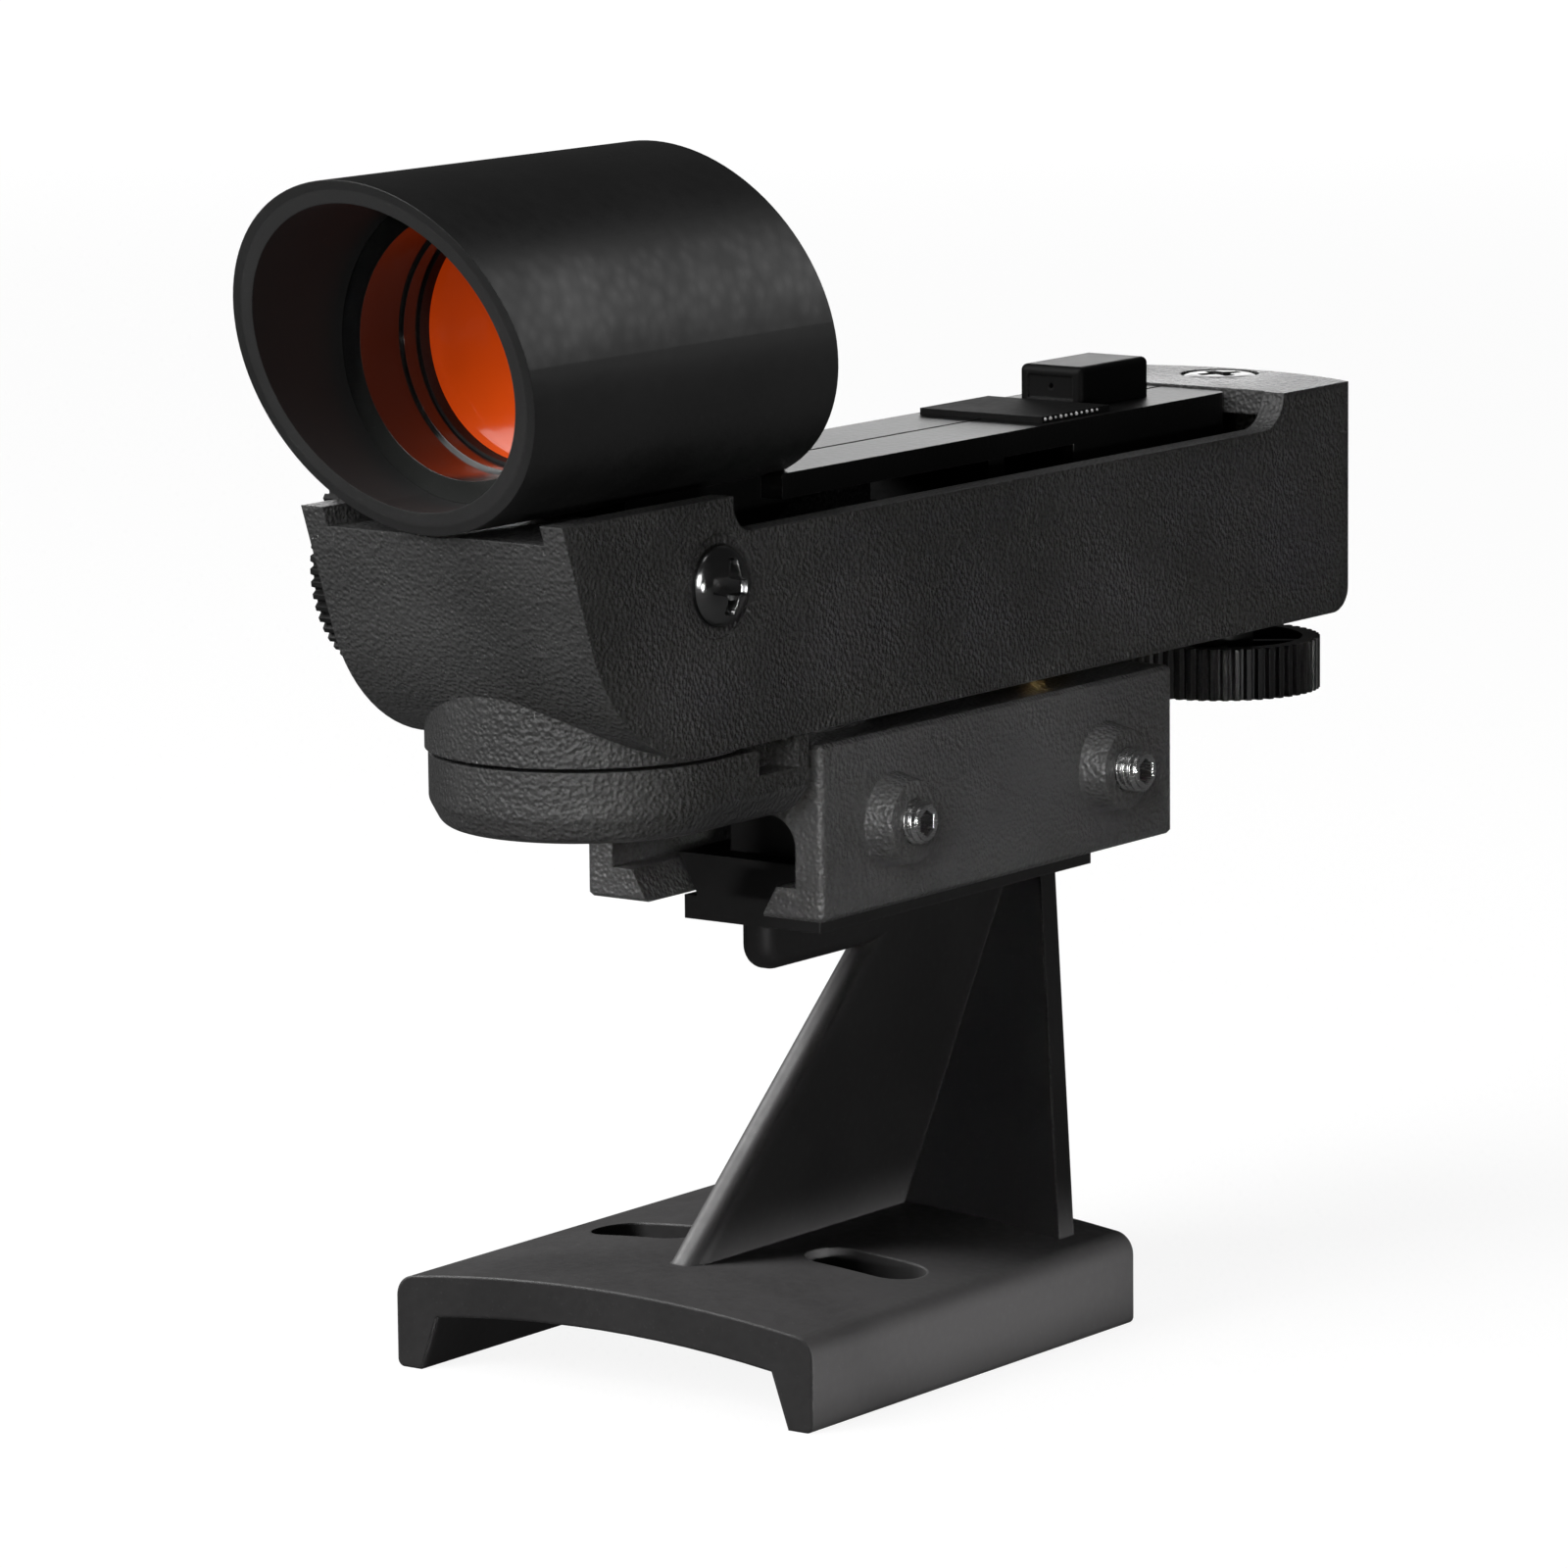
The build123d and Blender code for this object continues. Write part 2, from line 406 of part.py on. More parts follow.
def make_azimuth_block():
    """The threaded block that hangs from the housing's floor and rides on the cross screw."""
    solid = block(-AZIMUTH_BLOCK_HALF_X, AZIMUTH_BLOCK_HALF_X, AZIMUTH_Y - AZIMUTH_BLOCK_HALF_Y,
                  AZIMUTH_Y + AZIMUTH_BLOCK_HALF_Y, AZIMUTH_BLOCK_BOTTOM_Z, HOUSING_BOTTOM_Z)
    solid = chamfer(solid.edges().filter_by(Axis.Z), AZIMUTH_BLOCK_CHAMFER)
    return solid - rod_x(SHAFT_R + AZIMUTH_BLOCK_PLAY, -FAR, FAR, AZIMUTH_Y, AZIMUTH_Z)


def azimuth_screw_rod(end_x):
    """The cross screw's round bar, from inside the knob to this end."""
    return rod_x(SHAFT_R - FIT / 2, AZIMUTH_KNOB_OUTER_X + AZIMUTH_KNOB_GRIP, end_x, AZIMUTH_Y, AZIMUTH_Z)


def make_azimuth_screw():
    """The cross screw in the clamp."""
    return azimuth_screw_rod(AZIMUTH_SCREW_END_X)


def make_azimuth_knob():
    """The ribbed knob on the cross screw: a dished disc on a neck."""
    disc = ribbed_disc(AZIMUTH_KNOB_R, AZIMUTH_KNOB_RIBS, AZIMUTH_KNOB_INNER_X - AZIMUTH_KNOB_OUTER_X)
    knob = Pos(AZIMUTH_KNOB_OUTER_X, AZIMUTH_Y, AZIMUTH_Z) * Rot(0, 90, 0) * disc
    knob += rod_x(AZIMUTH_NECK_R, AZIMUTH_KNOB_INNER_X - LAP, AZIMUTH_NECK_END_X, AZIMUTH_Y, AZIMUTH_Z)
    knob -= rod_x(AZIMUTH_KNOB_R - AZIMUTH_KNOB_RIM, -FAR, AZIMUTH_KNOB_OUTER_X + AZIMUTH_KNOB_DISH,
                  AZIMUTH_Y, AZIMUTH_Z)
    return knob - azimuth_screw_rod(0)


# --- housing --------------------------------------------------------------------------------------------
def plan_prism(half_width, front_y, corner_y, rear_y):
    """A plan outline with a straight front and a bowed rear, carried through the whole height."""
    lines = Polyline((-half_width, corner_y), (-half_width, front_y), (half_width, front_y), (half_width, corner_y))
    rear = ThreePointArc((half_width, corner_y), (0, rear_y), (-half_width, corner_y))
    return extrude(make_face([lines, rear]), amount=FAR)


def housing_side(inset, top_z):
    """The side outline: a slanted prow, a round nose and a flat bottom, set in by the wall."""
    bottom_z = HOUSING_BOTTOM_Z + (FLOOR if inset else 0)
    radius = PROW_RADIUS - inset
    turn = pi / 2 - PROW_ANGLE
    setback = inset / cos(PROW_ANGLE)
    reach = radius * tan(turn / 2)
    corner_y = front_y_at(bottom_z) + setback
    start = (front_y_at(top_z) + setback, top_z)
    nose_top = (corner_y - reach * sin(PROW_ANGLE), bottom_z + reach * cos(PROW_ANGLE))
    nose_end = (corner_y + reach, bottom_z)
    nose_middle = (nose_end[0] - radius * sin(turn / 2), bottom_z + radius * (1 - cos(turn / 2)))
    prow = Line(start, nose_top)
    nose = ThreePointArc(nose_top, nose_middle, nose_end)
    rest = Polyline(nose_end, (FAR, bottom_z), (FAR, top_z), start)
    return Plane.YZ * make_face([prow, nose, rest])


def housing_cavity():
    """What the channel-shaped housing holds: the space between its walls, floor and decks."""
    cavity = extrude(housing_side(WALL, HOUSING_TOP_Z + PAST), amount=2 * INNER_HALF, dir=(1, 0, 0))
    cavity = Pos(-INNER_HALF, 0, 0) * cavity
    cavity = cavity & plan_prism(INNER_HALF, -FAR, HOUSING_CORNER_Y - REAR_WALL, HOUSING_REAR_Y - REAR_WALL)
    cavity -= block(-FAR, FAR, -FAR, FRONT_DECK_END_Y, FRONT_DECK_Z - DECK_THICKNESS, FAR)
    return cavity - block(-FAR, FAR, REAR_DECK_Y, FAR, HOUSING_TOP_Z - DECK_THICKNESS, FAR)


def above_sills():
    """The space above the low side walls, with a rounded corner at each end."""
    space = block(-FAR, FAR, SILL_FRONT_Y, SILL_REAR_Y, SILL_Z, FAR)
    for end_y, radius in ((SILL_FRONT_Y, SILL_FRONT_RADIUS), (SILL_REAR_Y, SILL_REAR_RADIUS)):
        low = [e for e in space.edges().filter_by(Axis.X) if e.center().Z < SILL_Z + SAME]
        space = fillet([e for e in low if abs(e.center().Y - end_y) < SAME], radius)
    return space


def make_housing():
    """The channel-shaped body with its prow, decks, low side walls and battery boss."""
    half = HOUSING_HALF_WIDTH
    outer = Pos(-half, 0, 0) * extrude(housing_side(0, HOUSING_TOP_Z), amount=2 * half, dir=(1, 0, 0))
    outer = outer & plan_prism(half, -FAR, HOUSING_CORNER_Y, HOUSING_REAR_Y)
    low = [e for e in outer.edges() if e.center().Z < HOUSING_BOTTOM_Z + SAME]
    outer = fillet([e for e in low if e.center().Y > HOUSING_CORNER_Y], REAR_EDGE_R)
    outer += rod_z(BOSS_R, BOSS_BOTTOM_Z, BOSS_TOP_Z, 0, BOSS_Y)
    body = outer - housing_cavity()
    body -= block(-INNER_HALF, INNER_HALF, -FAR, FRONT_DECK_END_Y, FRONT_DECK_Z, FAR)
    body -= rod_y(TUBE_R + TUBE_RELIEF, -FAR, FRONT_DECK_END_Y + PAST, 0, TUBE_Z)
    body -= above_sills()
    body -= rod_x(SHAFT_R + FIT, 0, FAR, HINGE_Y, HINGE_Z)
    body -= rod_x(HEAD_SPOT_R, PIVOT_HEAD_X, FAR, HINGE_Y, HINGE_Z)
    body -= rod_x(DIAL_AXLE_R + FIT, -FAR, 0, DIAL_Y, DIAL_Z)
    body -= rod_z(SHAFT_R + NEST, 0, FLOOR_Z + PAST, 0, PIVOT_Y)
    body -= rod_z(ALTITUDE_SCREW_R + FIT, 0, FAR, 0, ALTITUDE_Y)
    return body - rod_z(PAN_HEAD_R + 2 * FIT, HOUSING_TOP_Z - HEAD_SINK, FAR, 0, ALTITUDE_Y)


def make_pivot_screw():
    """The side screw that the carriage hinges on."""
    head = pan_head(PAN_HEAD_R, PAN_HEAD_HEIGHT, PAN_HEAD_CROWN)
    screw = Pos(PIVOT_HEAD_X, HINGE_Y, HINGE_Z) * Rot(0, 90, 0) * head
    return screw + rod_x(SHAFT_R, -INNER_HALF + SAME, PIVOT_HEAD_X + SAME, HINGE_Y, HINGE_Z)


def make_pivot_nut():
    """The nut on the pivot screw's far end, against the left wall."""
    return Pos(-INNER_HALF, HINGE_Y, HINGE_Z) * Rot(0, 90, 0) * hex_nut(SHAFT_R + NEST)


def make_pivot_spacer(near_x, far_x):
    """A sleeve on the pivot screw, between the hinge barrel and a wall or the nut."""
    return rod_x(SPACER_R, near_x, far_x, HINGE_Y, HINGE_Z) - rod_x(SHAFT_R + NEST, -FAR, FAR, HINGE_Y, HINGE_Z)


# --- battery --------------------------------------------------------------------------------------------
def make_battery_cover():
    """The tray under the boss: a half-round front, a round-edged bottom and a notch at each rear side."""
    height = COVER_SHOULDER_Z - COVER_BOTTOM_Z
    rear_bottom_y = COVER_REAR_Y - height / 2
    cover = rod_z(COVER_R, COVER_SHOULDER_Z, COVER_TOP_Z, 0, BOSS_Y)
    cover += block(-COVER_R, COVER_R, BOSS_Y, COVER_REAR_Y, COVER_SHOULDER_Z, COVER_TOP_Z)
    cover += Pos(0, BOSS_Y, COVER_BOTTOM_Z + height / 2) * Cone(COVER_BOTTOM_R, COVER_R, height)
    wedge = [(COVER_BOTTOM_R, COVER_BOTTOM_Z), (COVER_R, COVER_SHOULDER_Z)]
    cover += front_prism(mirrored(wedge), BOSS_Y, COVER_REAR_Y)
    cover = cover & side_prism([(-FAR, COVER_TOP_Z), (COVER_REAR_Y, COVER_TOP_Z), (COVER_REAR_Y, COVER_SHOULDER_Z),
                                (rear_bottom_y, COVER_BOTTOM_Z), (-FAR, COVER_BOTTOM_Z)], FAR)
    for z in (COVER_BOTTOM_Z, COVER_SHOULDER_Z):
        cover = fillet([e for e in cover.edges() if abs(e.center().Z - z) < SAME], COVER_EDGE_R)
    inner_r = COVER_R - COVER_WALL
    cover -= rod_z(inner_r, CELL_SEAT_Z, FAR, 0, BOSS_Y)
    notches = block(-FAR, FAR, NOTCH_FRONT_Y, NOTCH_REAR_Y, NOTCH_Z, FAR)
    cover -= notches - block(-COVER_R + NOTCH_DEPTH, COVER_R - NOTCH_DEPTH, -FAR, FAR, 0, FAR)
    hooks = block(-COVER_R, COVER_R, NOTCH_REAR_Y, COVER_REAR_Y, HOOK_BOTTOM_Z, HOOK_TOP_Z)
    return cover + (hooks - block(-inner_r, inner_r, -FAR, FAR, 0, FAR))


def make_coin_cell():
    """The lithium coin cell in the cover's tray."""
    top_z = CELL_SEAT_Z + CELL_HEIGHT
    cell = rod_z(CELL_R, CELL_SEAT_Z, top_z - CELL_STEP, 0, BOSS_Y)
    return cell + rod_z(CELL_R - CELL_RIM, top_z - 2 * CELL_STEP, top_z, 0, BOSS_Y)


def make_battery_contact():
    """The sprung leaf that touches the cell from above."""
    front_y, rear_y = BOSS_Y - CONTACT_HALF_LENGTH, BOSS_Y + CONTACT_HALF_LENGTH
    leaf = block(-CONTACT_HALF_WIDTH, CONTACT_HALF_WIDTH, front_y, rear_y, CONTACT_Z, BOSS_BOTTOM_Z)
    return leaf - block(-FAR, FAR, front_y + CONTACT_GAUGE, rear_y - CONTACT_GAUGE, CONTACT_Z + CONTACT_GAUGE, FAR)


# --- brightness control -----------------------------------------------------------------------------------
def make_brightness_dial():
    """The ribbed dial on the left side, with its axle."""
    disc = ribbed_disc(DIAL_R, DIAL_RIBS, DIAL_INNER_X - DIAL_OUTER_X)
    dial = Pos(DIAL_OUTER_X, DIAL_Y, DIAL_Z) * Rot(0, 90, 0) * disc
    dial += rod_x(DIAL_AXLE_R, DIAL_INNER_X - LAP, DIAL_AXLE_END_X, DIAL_Y, DIAL_Z)
    return dial - rod_x(DIAL_R - DIAL_RIM, -FAR, DIAL_OUTER_X + DIAL_DISH, DIAL_Y, DIAL_Z)


def make_dimmer():
    """The rotary control that the dial turns, against the inside of the left wall."""
    body = block(-INNER_HALF, -INNER_HALF + DIMMER_DEPTH, DIAL_Y - DIMMER_HALF, DIAL_Y + DIMMER_HALF,
                 DIAL_Z - DIMMER_HALF, DIAL_Z + DIMMER_TOP)
    return body - rod_x(DIAL_AXLE_R + FIT, -FAR, -INNER_HALF + DIMMER_BORE, DIAL_Y, DIAL_Z)


def make_control_board():
    """The small circuit board on the housing's floor, with its chip."""
    top_z = FLOOR_Z + BOARD_GAUGE
    board = block(-BOARD_HALF_WIDTH, BOARD_HALF_WIDTH, BOARD_FRONT_Y, BOARD_REAR_Y, FLOOR_Z, top_z)
    return board + block(-CHIP_HALF_WIDTH, CHIP_HALF_WIDTH, CHIP_FRONT_Y, CHIP_REAR_Y, FLOOR_Z, top_z + CHIP_HEIGHT)


# --- carriage ----------------------------------------------------------------------------------------------
def make_sight_tube():
    """The tube: both ends slant, and a ledge inside carries the lens."""
    reach = 2 * TUBE_R
    slant = PROW_SLANT * reach
    tube = rod_y(TUBE_R, -FAR, FAR, 0, TUBE_Z)
    tube = tube & side_prism([(TUBE_FRONT_Y - slant, TUBE_Z + reach), (TUBE_REAR_Y - slant, TUBE_Z + reach),
                              (TUBE_REAR_Y + slant, TUBE_Z - reach), (TUBE_FRONT_Y + slant, TUBE_Z - reach)], FAR)
    tube -= rod_y(LENS_SEAT_R, -FAR, FAR, 0, TUBE_Z)
    tube -= rod_y(TUBE_BORE_R, -FAR, LENS_SEAT_Y, 0, TUBE_Z)
    return tube - rod_y(TUBE_BORE_R, LENS_SEAT_Y + LENS_SEAT_DEPTH, FAR, 0, TUBE_Z)


def ring(inner_r, y0, y1):
    """A ring that lies in the tube's bore."""
    return rod_y(TUBE_BORE_R - NEST, y0, y1, 0, TUBE_Z) - rod_y(inner_r, -FAR, FAR, 0, TUBE_Z)


def make_lens():
    """The reflector lens: its rear face is a shallow hollow sphere centred low, toward the emitter."""
    centre_y = LENS_SEAT_Y - LENS_HOLLOW_DEPTH + LENS_HOLLOW_RADIUS
    hollow = Pos(0, centre_y, TUBE_Z - LENS_HOLLOW_DROP) * Sphere(LENS_HOLLOW_RADIUS)
    hollow = hollow & rod_y(LENS_HOLLOW_R, LENS_FRONT_Y, LENS_SEAT_Y + PAST, 0, TUBE_Z)
    return rod_y(TUBE_BORE_R - NEST, LENS_FRONT_Y, LENS_SEAT_Y, 0, TUBE_Z) - hollow


def make_rail():
    """The flat rail, with a fine groove along its middle and a stiffening rib under it."""
    rail = block(-RAIL_HALF, RAIL_HALF, RAIL_FRONT_Y, RAIL_REAR_Y, RAIL_TOP_Z - RAIL_THICKNESS, RAIL_TOP_Z)
    rail = fillet([e for e in rail.edges().filter_by(Axis.Z) if e.center().Y > 0], RAIL_CORNER_R)
    rail -= block(-RAIL_GROOVE_HALF, RAIL_GROOVE_HALF, -FAR, FAR, RAIL_TOP_Z - RAIL_GROOVE_DEPTH, FAR)
    return rail + block(-RAIL_RIB_HALF, RAIL_RIB_HALF, RAIL_RIB_Y, RAIL_RIB_Y + RAIL_RIB_DEPTH, RAIL_RIB_Z,
                        RAIL_TOP_Z - RAIL_THICKNESS)


def make_rear_block():
    """The deep open-bottomed box under the rail's rear, with the tongue that holds the altitude nut."""
    top_z = RAIL_TOP_Z - RAIL_THICKNESS
    box = block(-RAIL_HALF, RAIL_HALF, BLOCK_FRONT_Y, RAIL_REAR_Y, BLOCK_BOTTOM_Z, top_z)
    box = fillet([e for e in box.edges().filter_by(Axis.Z) if e.center().Y > BLOCK_FRONT_Y + PAST], RAIL_CORNER_R)
    box -= block(-RAIL_HALF + BLOCK_WALL, RAIL_HALF - BLOCK_WALL, BLOCK_FRONT_Y + BLOCK_WALL,
                 RAIL_REAR_Y - BLOCK_REAR_WALL, 0, top_z)
    return box + block(-TONGUE_HALF, TONGUE_HALF, RAIL_REAR_Y - BLOCK_REAR_WALL + LAP, TONGUE_REAR_Y,
                       BLOCK_BOTTOM_Z, TONGUE_TOP_Z)


def make_carriage_frame():
    """Hinge barrel, neck, tube cradle, flat rail and the deep rear block with its tongue."""
    neck = side_prism([(NECK_FRONT_Y, HINGE_Z), (NECK_FRONT_Y, NECK_TOP_Z), (NECK_REAR_Y, NECK_TOP_Z),
                       (NECK_REAR_Y, NECK_REAR_Z), (RAIL_FRONT_Y, NECK_SLOPE_Z), (NECK_TURN_Y, NECK_BOTTOM_Z),
                       (HINGE_Y, NECK_BOTTOM_Z)], NECK_HALF)
    neck -= block(-FAR, FAR, NECK_CUT_Y, FAR, RAIL_TOP_Z, FAR)
    barrel = rod_x(HINGE_R, -RAIL_HALF, RAIL_HALF, HINGE_Y, HINGE_Z)
    frame = make_rail() + neck + barrel + make_rear_block()
    frame -= rod_x(SHAFT_R + FIT, -FAR, FAR, HINGE_Y, HINGE_Z)
    frame -= rod_y(TUBE_R + NEST, -FAR, CRADLE_REAR_Y + NEST, 0, TUBE_Z)
    return frame - altitude_nut_block()


def altitude_nut_block():
    """The outside of the square nut that is set in the tongue's end."""
    return block(-NUT_HALF, NUT_HALF, NUT_FRONT_Y, NUT_REAR_Y, BLOCK_BOTTOM_Z, TONGUE_TOP_Z)


def make_altitude_nut():
    """The brass nut that climbs the altitude screw."""
    return altitude_nut_block() - rod_z(ALTITUDE_SCREW_R + NUT_CLEARANCE, 0, FAR, 0, ALTITUDE_Y)


# --- altitude drive --------------------------------------------------------------------------------------------
def make_altitude_wheel():
    """The ribbed thumbwheel under the housing's rear, dished on top, with four spokes and a hub."""
    disc = ribbed_disc(WHEEL_R, WHEEL_RIBS, WHEEL_TOP_Z - WHEEL_BOTTOM_Z)
    inner_r = WHEEL_R - WHEEL_RIM
    wheel = Pos(0, ALTITUDE_Y, WHEEL_BOTTOM_Z) * disc
    wheel -= rod_z(inner_r, WHEEL_TOP_Z - WHEEL_TOP_DISH, FAR, 0, ALTITUDE_Y)
    wheel -= rod_z(inner_r, 0, WHEEL_BOTTOM_Z + WHEEL_BOTTOM_DISH, 0, ALTITUDE_Y)
    wheel += rod_z(HUB_R, WHEEL_BOTTOM_Z, HUB_TOP_Z, 0, ALTITUDE_Y)
    spoke = block(HUB_R - LAP, inner_r + LAP, -SPOKE_HALF, SPOKE_HALF, SPOKE_BOTTOM_Z, SPOKE_TOP_Z)
    for i in range(SPOKES):
        wheel += Pos(0, ALTITUDE_Y, 0) * Rot(0, 0, SPOKE_TURN + i * 360 / SPOKES) * spoke
    return wheel - rod_z(ALTITUDE_SCREW_R, 0, FAR, 0, ALTITUDE_Y)


def make_altitude_washer():
    """The slip washer between the wheel's hub and the housing."""
    washer = rod_z(SLIP_WASHER_R, HUB_TOP_Z, HUB_TOP_Z + SLIP_WASHER_GAUGE, 0, ALTITUDE_Y)
    return washer - rod_z(ALTITUDE_SCREW_R, 0, FAR, 0, ALTITUDE_Y)


def make_altitude_screw():
    """The long screw from its cross-slotted head on the rear deck down to the wheel."""
    seat_z = HOUSING_TOP_Z - HEAD_SINK + FIT
    head = Pos(0, ALTITUDE_Y, seat_z) * pan_head(PAN_HEAD_R, ALTITUDE_HEAD_HEIGHT, ALTITUDE_HEAD_CROWN)
    return head + rod_z(ALTITUDE_SCREW_R, ALTITUDE_END_Z, seat_z + SAME, 0, ALTITUDE_Y)


def make_altitude_spring():
    """The coil spring round the stud that takes up the thread's slack."""
    z0, z1 = FLOOR_Z + FIT, BLOCK_BOTTOM_Z - FIT
    height = z1 - z0 - 2 * SPRING_WIRE_R
    path = Helix(pitch=height / SPRING_COILS, height=height, radius=ALTITUDE_SCREW_R + SPRING_PLAY)
    profile = Plane(origin=path @ 0, z_dir=path % 0) * Circle(SPRING_WIRE_R)
    return Pos(0, ALTITUDE_Y, z0 + SPRING_WIRE_R) * sweep(profile, path=path)


# --- emitter ---------------------------------------------------------------------------------------------------
def make_antiglare_pad():
    """The thin dark pad on the rail in front of the emitter."""
    return block(-PAD_HALF, PAD_HALF, PAD_FRONT_Y, PAD_REAR_Y, RAIL_TOP_Z, RAIL_TOP_Z + PAD_THICKNESS)


def make_emitter_hood():
    """The rounded box over the emitter, with a recessed window and a pinhole toward the lens."""
    hood = block(-HOOD_HALF, HOOD_HALF, HOOD_FRONT_Y, HOOD_REAR_Y, RAIL_TOP_Z, HOOD_TOP_Z)
    hood = fillet([e for e in hood.edges() if e.center().Z > RAIL_TOP_Z + SAME], HOOD_EDGE_R)
    hood -= block(-HOOD_HALF + HOOD_WALL, HOOD_HALF - HOOD_WALL, HOOD_FRONT_Y + HOOD_FRONT_WALL,
                  HOOD_REAR_Y - HOOD_WALL, 0, HOOD_TOP_Z - HOOD_WALL)
    hood -= block(-WINDOW_HALF, WINDOW_HALF, -FAR, HOOD_FRONT_Y + WINDOW_DEPTH, WINDOW_BOTTOM_Z, WINDOW_TOP_Z)
    return hood - rod_y(PINHOLE_R, HOOD_FRONT_Y, HOOD_FRONT_Y + HOOD_FRONT_WALL + PAST, 0, PINHOLE_Z)


def make_emitter_board():
    """The upright circuit board in the hood."""
    return block(-EMITTER_BOARD_HALF, EMITTER_BOARD_HALF, EMITTER_BOARD_Y, EMITTER_BOARD_Y + EMITTER_BOARD_GAUGE,
                 RAIL_TOP_Z, RAIL_TOP_Z + EMITTER_BOARD_HEIGHT)


def make_emitter():
    """The red light-emitting diode on its board, behind the pinhole."""
    return block(-EMITTER_HALF, EMITTER_HALF, EMITTER_BOARD_Y - EMITTER_DEPTH, EMITTER_BOARD_Y,
                 PINHOLE_Z - EMITTER_HALF_HEIGHT, PINHOLE_Z + EMITTER_HALF_HEIGHT)


PIECES = {
    "saddle_bracket": make_saddle_bracket,
    "dovetail_clamp": make_dovetail_clamp,
    "set_screw_front": lambda: make_set_screw(0),
    "set_screw_rear": lambda: make_set_screw(1),
    "azimuth_washer": make_azimuth_washer,
    "azimuth_pivot_screw": make_azimuth_pivot_screw,
    "azimuth_nut": make_azimuth_nut,
    "azimuth_block": make_azimuth_block,
    "azimuth_screw": make_azimuth_screw,
    "azimuth_knob": make_azimuth_knob,
    "housing": make_housing,
    "pivot_screw": make_pivot_screw,
    "pivot_nut": make_pivot_nut,
    "pivot_spacer_left": lambda: make_pivot_spacer(-INNER_HALF + NUT_HEIGHT, -RAIL_HALF - SPACER_GAP),
    "pivot_spacer_right": lambda: make_pivot_spacer(RAIL_HALF + SPACER_GAP, INNER_HALF),
    "battery_cover": make_battery_cover,
    "coin_cell": make_coin_cell,
    "battery_contact": make_battery_contact,
    "brightness_dial": make_brightness_dial,
    "dimmer": make_dimmer,
    "control_board": make_control_board,
    "sight_tube": make_sight_tube,
    "lens_retaining_ring": lambda: ring(RETAINER_BORE_R, RETAINER_FRONT_Y, SPACER_FRONT_Y),
    "lens_spacer_ring": lambda: ring(SPACER_BORE_R, SPACER_FRONT_Y, GASKET_FRONT_Y),
    "lens_gasket": lambda: ring(GASKET_BORE_R, GASKET_FRONT_Y, LENS_FRONT_Y),
    "lens": make_lens,
    "carriage_frame": make_carriage_frame,
    "altitude_nut": make_altitude_nut,
    "altitude_wheel": make_altitude_wheel,
    "altitude_washer": make_altitude_washer,
    "altitude_screw": make_altitude_screw,
    "altitude_spring": make_altitude_spring,
    "antiglare_pad": make_antiglare_pad,
    "emitter_hood": make_emitter_hood,
    "emitter_board": make_emitter_board,
    "emitter": make_emitter,
}

os.makedirs("parts", exist_ok=True)
for name, make in PIECES.items():
    export_step(make(), f"parts/{name}.step")
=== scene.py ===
"""The looks of a red-dot finder scope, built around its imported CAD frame.

Lengths are worked out in millimetres and passed to Blender in metres. X runs across the sight, Y along the line
of sight toward the eye, and Z up.
"""

from math import cos, exp, pi, radians, sin

import bmesh
import bpy
from mathutils import Matrix, Vector


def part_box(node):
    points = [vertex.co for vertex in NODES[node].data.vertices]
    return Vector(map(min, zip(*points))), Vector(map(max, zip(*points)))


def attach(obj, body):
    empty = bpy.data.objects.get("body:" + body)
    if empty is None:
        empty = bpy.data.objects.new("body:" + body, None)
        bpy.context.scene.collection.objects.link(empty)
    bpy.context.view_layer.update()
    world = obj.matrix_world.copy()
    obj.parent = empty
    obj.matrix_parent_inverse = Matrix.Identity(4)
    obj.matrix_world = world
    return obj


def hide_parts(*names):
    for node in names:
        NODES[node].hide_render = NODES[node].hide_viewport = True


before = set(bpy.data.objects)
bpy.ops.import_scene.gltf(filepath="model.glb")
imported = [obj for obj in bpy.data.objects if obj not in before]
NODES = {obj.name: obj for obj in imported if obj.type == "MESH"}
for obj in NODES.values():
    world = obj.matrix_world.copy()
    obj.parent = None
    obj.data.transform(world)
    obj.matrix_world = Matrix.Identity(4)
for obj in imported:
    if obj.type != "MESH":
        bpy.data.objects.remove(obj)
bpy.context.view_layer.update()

MM = 0.001
RUBBED_EDGE, MOST_WEAR = (0.16, 0.16, 0.16), 0.15


